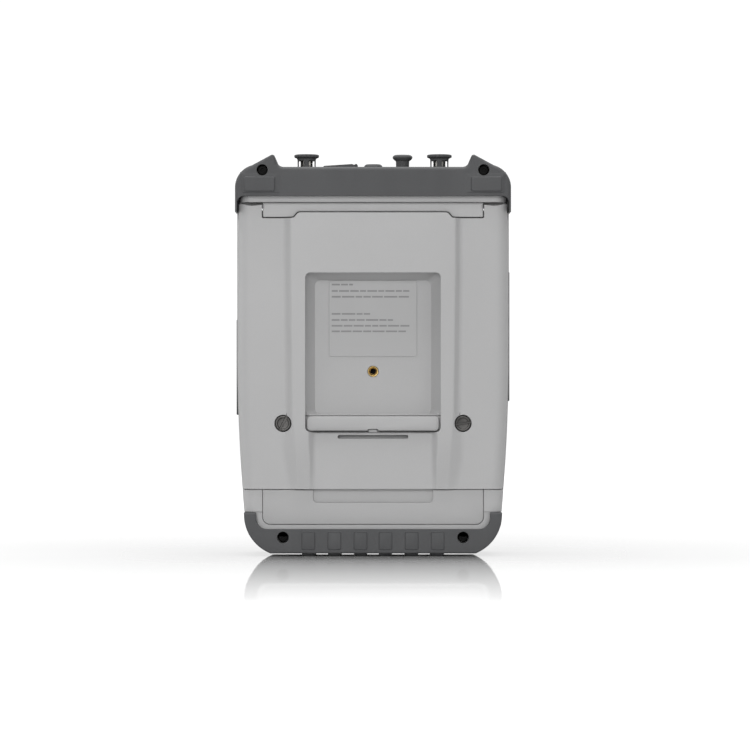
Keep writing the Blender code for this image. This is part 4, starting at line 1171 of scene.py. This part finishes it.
def make_port_cap(number):
    """Soft protective cap: a wide flange on a windowed sleeve that shows the connector."""
    node = f"port_{number}_cap"
    x = middle_x(node)
    low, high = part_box(node)
    base = low[2]
    rim = high[0] - x
    profile = filleted(
        [(0.0, high[2]), (rim - 0.0012, high[2]), (rim, high[2] - 0.0004), (rim, high[2] - 0.0021),
         (0.0072, 0.2880), (0.0067, 0.2872), (0.0066, 0.2822), (0.0073, 0.2798), (0.0074, base),
         (0.0051, base), (0.0051, 0.2872), (0.0, 0.2872)],
        [0.0004, 0.0004, 0.0005, 0.0006, 0.0006, 0.0008, 0.0008, 0.0003, 0.0003, 0.0003], 4,
    )
    cap = turned("cap", profile, (x, PORT_Y, 0), 72)
    windows = []
    for sign in (1, -1):
        xs = sorted((x + sign * 0.0018, x + sign * 0.0057))
        windows.append(block("window", xs, (PORT_Y - 0.02, PORT_Y + 0.02), (0.2795, 0.2862), 0.0005, 3))
    cut(cap, *windows)
    grooves = [
        block("groove", (-0.0002, 0.0002), (rim - 0.0004, rim + 0.002), (high[2] - 0.0030, high[2] + 0.001))
        for _ in range(18)
    ]
    for i, groove in enumerate(grooves):
        turn = Matrix.Rotation(2 * math.pi * i / len(grooves), 4, "Z")
        groove.data.transform(Matrix.Translation((x, PORT_Y, 0)) @ turn)
    cut(cap, *grooves)
    piece(cap, f"test_port_{number}_cover", RUBBER, node, "black_rubber", [node], 0.00015)


def make_bnc():
    """The bayonet connector, without its lugs, and its hood."""
    x = middle_x("bnc_connector")
    low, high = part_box("bnc_connector")
    profile = [
        (0.0, 0.2835), (0.0007, 0.2835), (0.0007, 0.2765), (0.0031, 0.2765), (0.0032, high[2]),
        (0.0039, high[2]), (0.0040, high[2] - 0.0003), (0.0040, 0.2715), (0.0066, 0.2712), (0.0066, 0.2690),
        (0.0050, 0.2688), (0.0050, low[2]), (0.0, low[2]),
    ]
    shell = turned("bnc", profile, (x, PORT_Y, 0), 64)
    piece(shell, "bayonet_connector", PLATED, "case", "connector_metal", ["bnc_connector"], 0.0, 2, 40)
    low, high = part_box("bnc_cap")
    base = low[2]
    rim = high[0] - x
    profile = filleted(
        [(0.0, high[2]), (0.0058, high[2]), (rim - 0.0001, 0.2894), (rim, 0.2883), (0.0062, 0.2868),
         (0.0049, 0.2861), (0.0047, 0.2800), (0.0060, 0.2776), (0.0062, base), (0.0044, base),
         (0.0043, 0.2846), (0.0, 0.2846)],
        [0.0006, 0.0007, 0.0006, 0.0006, 0.0006, 0.0010, 0.0008, 0.0003, 0.0003, 0.0003], 4,
    )
    hood = turned("hood", profile, (x, PORT_Y, 0), 72)
    piece(hood, "bayonet_hood", RUBBER, "bnc_cap", "black_rubber", ["bnc_cap"], 0.0, 2, 40)


def make_usb():
    """A socket and its soft wedge-shaped cover with a groove for a fingernail."""
    low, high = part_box("usb_cap")
    wedge = filleted(
        [(low[0], low[2]), (high[0], low[2]), (high[0], 0.2822), (low[0] + 0.0010, high[2]),
         (low[0], 0.2826), (low[0], low[2])],
        (0.0003, 0.0012, 0.0006, 0.0006), 5,
    )[:-1]
    cover = prism("wedge", wedge, low[1], high[1], 0.0010, 4)
    x = low[0] + 0.0028
    cut(cover, rod("groove", (x, low[1] - 0.01, 0.2846), (x, high[1] + 0.01, 0.2846), 0.0015, 32))
    piece(cover, "usb_cover", RUBBER, "usb_cap", "black_rubber", ["usb_cap"], 0.0003)
    low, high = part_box("usb_socket")
    can = block("can", (low[0], high[0]), (low[1], high[1]), (low[2], high[2]), 0.0004, 2)
    ys = (low[1] + 0.0008, high[1] - 0.0008)
    cut(can, block("mouth", (low[0] + 0.0008, high[0] - 0.0008), ys, (0.2580, 0.28)))
    piece(can, "usb_can", STEEL, "case", "steel", ["usb_socket"], 0.0001)
    ys = (PORT_Y - 0.0008, PORT_Y + 0.0008)
    tongue = block("tongue", (low[0] + 0.0014, high[0] - 0.0014), ys, (0.2578, 0.2670))
    piece(tongue, "usb_tongue", DARK, "case", "dark_plastic", (), 0.0001)


def make_jack():
    """The trigger jack and its soft plug."""
    x = middle_x("trigger_jack")
    low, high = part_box("trigger_jack")
    profile = [
        (0.0, 0.2580), (0.0024, 0.2580), (0.0024, high[2] - 0.0002), (0.0026, high[2]), (0.0031, high[2]),
        (0.0032, high[2] - 0.0002), (0.0032, low[2]), (0.0, low[2]),
    ]
    jack = turned("jack", profile, (x, PORT_Y, 0), 48)
    piece(jack, "trigger_socket", PLATED, "case", "connector_metal", ["trigger_jack"], 0.0, 2, 40)
    low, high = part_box("trigger_jack_cap")
    wide = high[0] - x
    profile = filleted(
        [(0.0, high[2] - 0.0003), (0.0034, high[2] - 0.0003), (0.0038, high[2]), (0.0052, high[2]),
         (0.0066, 0.2826), (wide, 0.2795), (wide, 0.2701), (0.0020, 0.2698), (0.0020, low[2]),
         (0.0, low[2])],
        [0.0002, 0.0002, 0.0006, 0.0008, 0.0008, 0.0003, 0.0003, 0.0003], 5,
    )
    plug = turned("plug", profile, (x, PORT_Y, 0), 64)
    nodes = ["trigger_jack_cap"]
    piece(plug, "trigger_plug", RUBBER, "trigger_jack_cap", "black_rubber", nodes, 0.0, 2, 40)


# ---------------------------------------------------------------- screen side
FACE_FRONT = Matrix.Rotation(math.pi / 2, 4, "X")


def make_display():
    """The dark cover glass of the screen."""
    low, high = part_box("display_glass")
    glass = prism("glass", grown(low, high, 0.0, 0.0037), low[1], high[1], 0.0003, 3, -1)
    piece(glass, "screen_glass", GLASS, "case", "display_glass", ["display_glass"])


LEGENDS = {"point": ".", "sign": "+/-", "power_key": "I"}


def make_keys():
    """Keys with rounded rims, each with a plain legend."""
    for name, low, high in key_boxes():
        x0, x1 = low[0] + KEY_RIM, high[0] - KEY_RIM
        z0, z1 = low[2] + KEY_RIM, high[2] - KEY_RIM
        corner = 0.0028 if name == "power_key" else 0.0020
        cap = prism("cap", rounded(x0, x1, z0, z1, corner, 6), low[1], -0.0278, 0.0005, 4, -1)
        skirt = grown(low, high, 0.0, corner, 4)
        join(cap, prism("skirt", skirt, -0.0282, high[1]))
        material = DARK if name == "power_key" else KEY
        slot = "dark_plastic" if name == "power_key" else "key_plastic"
        piece(cap, name + "_cap", material, name, slot, [name])
        word = name.removeprefix("key_")
        x, z = ((x0 + x1) / 2, (z0 + z1) / 2)
        if name.startswith("softkey"):
            ys = (low[1] - 0.00005, low[1] + 0.0001)
            mark = block("mark", (x - 0.003, x + 0.003), ys, (z - 0.0004, z + 0.0004))
        else:
            middle = (x, low[1] - 0.00003, z)
            mark = text_shape("mark", LEGENDS.get(word, word), 0.0058, 0.00005, middle, FACE_FRONT)
        ink = PALE_INK if name == "power_key" else LEGEND
        piece(mark, name + "_legend", ink, name, slot)


DIMPLE = 0.0065           # radius of the ball that presses the finger dimple
DIAL_GROOVES = 48


def make_dial():
    """The flat jog dial: fine grooves round its rim and a finger dimple."""
    low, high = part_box("jog_dial")
    centre = ((low[0] + high[0]) / 2, (low[2] + high[2]) / 2)
    radius = (high[0] - low[0]) / 2
    front = low[1]
    back = FRONT - GAP
    profile = filleted(
        [(0.0, -front), (radius - 0.0030, -front), (radius - 0.0022, -front - 0.0004),
         (radius - 0.0012, -front), (radius - 0.0002, -front - 0.0010), (radius, -back), (0.0, -back)],
        (0.0004, 0.0004, 0.0004, 0.0005, 0.0002), 4,
    )
    dial = turned("dial", profile, (centre[0], 0, centre[1]), 96, "Y")
    shaft = rod("shaft", (centre[0], FRONT - 0.002, centre[1]), (centre[0], high[1], centre[1]), 0.0030)
    join(dial, shaft)
    dimple_z = centre[1] + 0.60 * radius
    halfway = [math.pi * i / 24 for i in range(25)]
    profile = [(DIMPLE * math.sin(t), DIMPLE * math.cos(t)) for t in halfway]
    ball = turned("ball", profile, (centre[0], front - 0.0050, dimple_z), 48, "Y")
    grooves = []
    for i in range(DIAL_GROOVES):
        zs = (radius - 0.0003, radius + 0.002)
        groove = block("groove", (-0.0002, 0.0002), (front - 0.001, back + 0.002), zs)
        turn = Matrix.Rotation(2 * math.pi * i / DIAL_GROOVES, 4, "Y")
        groove.data.transform(Matrix.Translation((centre[0], 0, centre[1])) @ turn)
        grooves.append(groove)
    cut(dial, ball, merge("grooves", grooves))
    piece(dial, "dial_knob", DARK, "jog_dial", "dark_plastic", ["jog_dial"])


# ---------------------------------------------------------------- sides
def make_doors():
    """Soft doors over the side sockets: a sunk face, a groove for a fingernail and two fine lines."""
    for name in ("right_port_door", "left_port_door"):
        low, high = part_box(name)
        sign = 1 if high[0] > 0 else -1
        outer = max(abs(low[0]), abs(high[0]))
        door = block("door", (low[0], high[0]), (low[1], high[1]), (low[2], high[2]), 0.0006, 3)
        sunk = (
            # depth, start and end across the door, distance from its ends
            (0.0004, low[1] + 0.0030, high[1] - 0.0080, 0.0040),
            (0.0006, high[1] - 0.0052, high[1] - 0.0036, 0.010),
            (0.0005, high[1] - 0.0025, high[1] - 0.0021, 0.014),
            (0.0005, high[1] - 0.0016, high[1] - 0.0012, 0.014),
        )
        cut(door, *[
            block("sunk", sorted((sign * (outer - depth), sign * SIDEWAYS)), (y0, y1),
                  (low[2] + end, high[2] - end))
            for depth, y0, y1, end in sunk
        ])
        side = "right" if sign > 0 else "left"
        piece(door, f"{side}_socket_door", DOOR, name, "black_rubber", [name], 0.0002)


def dress_inner_parts():
    """Gives every CAD part that stays in the picture its finish."""
    finishes = {
        BOARD: ("main_board", "keypad_board"),
        CAST: ("rf_module", "dial_encoder"),
        STEEL: ("lcd_module", "lan_socket", "dc_inlet", "audio_jack"),
        DARK: ("battery_pack",),
    }
    for material, names in finishes.items():
        for name in names:
            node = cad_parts[name]
            node.data.materials.clear()
            node.data.materials.append(material)


# ---------------------------------------------------------------- floor, light and camera
def make_stage():
    """A wide pale floor that is polished round the instrument and matt further out."""
    shape = bmesh.new()
    bmesh.ops.create_grid(shape, x_segments=1, y_segments=1, size=8.0)
    floor = new_object("studio_floor", shape)
    made = Nodes("studio_floor", (PALE,) * 3, 0.6)
    made.shader.inputs["Specular IOR Level"].default_value = 0.0
    high = CAD_BOX[1]
    half = made.node("ShaderNodeVectorMath", operation="ABSOLUTE")
    made.link(made.place, half.inputs[0])
    outside = made.node("ShaderNodeVectorMath", operation="SUBTRACT")
    outside.inputs[1].default_value = (high[0], high[1], 0.0)
    made.link(half.outputs[0], outside.inputs[0])
    kept = made.node("ShaderNodeVectorMath", operation="MAXIMUM")
    kept.inputs[1].default_value = (0.0, 0.0, 0.0)
    made.link(outside.outputs[0], kept.inputs[0])
    distance = made.node("ShaderNodeVectorMath", operation="LENGTH")
    made.link(kept.outputs[0], distance.inputs[0])
    fade = made.node("ShaderNodeMapRange")
    fade.inputs["From Min"].default_value = 0.0
    fade.inputs["From Max"].default_value = POLISH_REACH
    fade.inputs["To Min"].default_value = POLISH
    fade.inputs["To Max"].default_value = 0.0
    made.link(distance.outputs["Value"], fade.inputs["Value"])
    grazing = made.node("ShaderNodeFresnel", IOR=1.45)
    amount = made.node("ShaderNodeMath", operation="MULTIPLY", use_clamp=True)
    made.link(fade.outputs["Result"], amount.inputs[0])
    made.link(grazing.outputs["Fac"], amount.inputs[1])
    mirror = made.node("ShaderNodeBsdfGlossy", Roughness=0.03)
    mixed = made.node("ShaderNodeMixShader")
    made.link(amount.outputs[0], mixed.inputs["Fac"])
    made.link(made.shader.outputs["BSDF"], mixed.inputs[1])
    made.link(mirror.outputs["BSDF"], mixed.inputs[2])
    output = next(node for node in made.tree.nodes if node.type == "OUTPUT_MATERIAL")
    made.link(mixed.outputs["Shader"], output.inputs["Surface"])
    path = made.node("ShaderNodeLightPath")
    made.colour(made.blend(path.outputs["Is Diffuse Ray"], (PALE,) * 3, (BOUNCE,) * 3))
    floor.data.materials.append(made.material)


POLISH = 1.18             # share of the grazing reflection that shows beside the feet
POLISH_REACH = 0.75       # metres from the instrument at which the polish has faded out
PALE = 0.93
BOUNCE = 0.40             # how pale the floor is in the light that it throws back up
KEY_POWER = 22.0          # watts
FILL_POWER = 3.0
SIDE_POWER = 6.0
SCREEN_POWER = 9.0
OVERHEAD = 2.8
SURROUND = 0.22           # strength of the white surroundings as a light
BACKDROP = 1.05           # and as they look to the camera and in reflections


def aim(obj, target):
    """Turns a lamp or camera to look at a point."""
    direction = Vector(target) - obj.location
    obj.rotation_euler = direction.to_track_quat("-Z", "Y").to_euler()


def softbox(name, place, target, size, power):
    """A rectangular area light."""
    lamp = bpy.data.lights.new(name, "AREA")
    lamp.shape = "RECTANGLE"
    lamp.size = size[0]
    lamp.size_y = size[1]
    lamp.energy = power
    obj = bpy.data.objects.new(name, lamp)
    obj.location = place
    bpy.context.scene.collection.objects.link(obj)
    aim(obj, target)


def make_light():
    """White surroundings, a soft sun overhead, three boxes round the rear, one at the screen side."""
    middle = (0.0, 0.0, 0.14)
    softbox("key_box", (0.40, 2.35, 0.75), middle, (0.9, 0.9), KEY_POWER)
    softbox("fill_box", (-1.20, 1.60, 0.55), middle, (1.0, 1.2), FILL_POWER)
    softbox("side_box", (1.60, -0.15, 0.35), middle, (0.5, 1.4), SIDE_POWER)
    softbox("screen_box", (-0.90, -1.80, 1.10), middle, (1.2, 1.0), SCREEN_POWER)
    sky = bpy.data.lights.new("overhead", "SUN")
    sky.energy = OVERHEAD
    sky.angle = math.radians(50)
    lamp = bpy.data.objects.new("overhead", sky)
    lamp.location = (0.0, 0.0, 2.0)
    bpy.context.scene.collection.objects.link(lamp)
    world = bpy.data.worlds.new("studio")
    bpy.context.scene.world = world
    world.use_nodes = True
    tree = world.node_tree
    surround = tree.nodes["Background"]
    surround.inputs["Color"].default_value = (1.0, 1.0, 1.0, 1.0)
    surround.inputs["Strength"].default_value = SURROUND
    seen = tree.nodes.new("ShaderNodeBackground")
    seen.inputs["Color"].default_value = (1.0, 1.0, 1.0, 1.0)
    seen.inputs["Strength"].default_value = BACKDROP
    path = tree.nodes.new("ShaderNodeLightPath")
    mixed = tree.nodes.new("ShaderNodeMixShader")
    either = tree.nodes.new("ShaderNodeMath")
    either.operation = "MAXIMUM"
    tree.links.new(path.outputs["Is Camera Ray"], either.inputs[0])
    tree.links.new(path.outputs["Is Glossy Ray"], either.inputs[1])
    tree.links.new(either.outputs[0], mixed.inputs["Fac"])
    tree.links.new(surround.outputs["Background"], mixed.inputs[1])
    tree.links.new(seen.outputs["Background"], mixed.inputs[2])
    tree.links.new(mixed.outputs["Shader"], tree.nodes["World Output"].inputs["Surface"])
    bpy.context.scene.view_settings.view_transform = "Standard"


CAMERA_DISTANCE = 2.5
VIEW_WIDTH = 0.54         # metres that the picture spans at the rear face
SENSOR = 36.0


def make_camera():
    """A long lens straight at the rear, level with the lower middle of the instrument."""
    lens = bpy.data.cameras.new("camera")
    lens.sensor_width = SENSOR
    lens.lens = SENSOR * CAMERA_DISTANCE / VIEW_WIDTH
    lens.clip_start = 0.01
    lens.clip_end = 50.0
    camera = bpy.data.objects.new("camera", lens)
    camera.location = (-0.00144, CAMERA_DISTANCE + 0.030, 0.1304)
    camera.rotation_euler = (math.pi / 2, 0.0, math.pi)
    bpy.context.scene.collection.objects.link(camera)
    bpy.context.scene.camera = camera


make_stage()
make_light()
make_camera()
make_stand()
make_rear_housing()
make_front_housing()
make_top_bumper()
make_bottom_bumper()
make_hinge()
make_battery_cover()
make_cover_screws()
make_housing_screws()
make_rear_fittings()
make_connector_panel()
for port in (1, 2):
    make_test_port(port)
    make_port_cap(port)
make_bnc()
make_usb()
make_jack()
make_display()
make_keys()
make_dial()
make_doors()
dress_inner_parts()
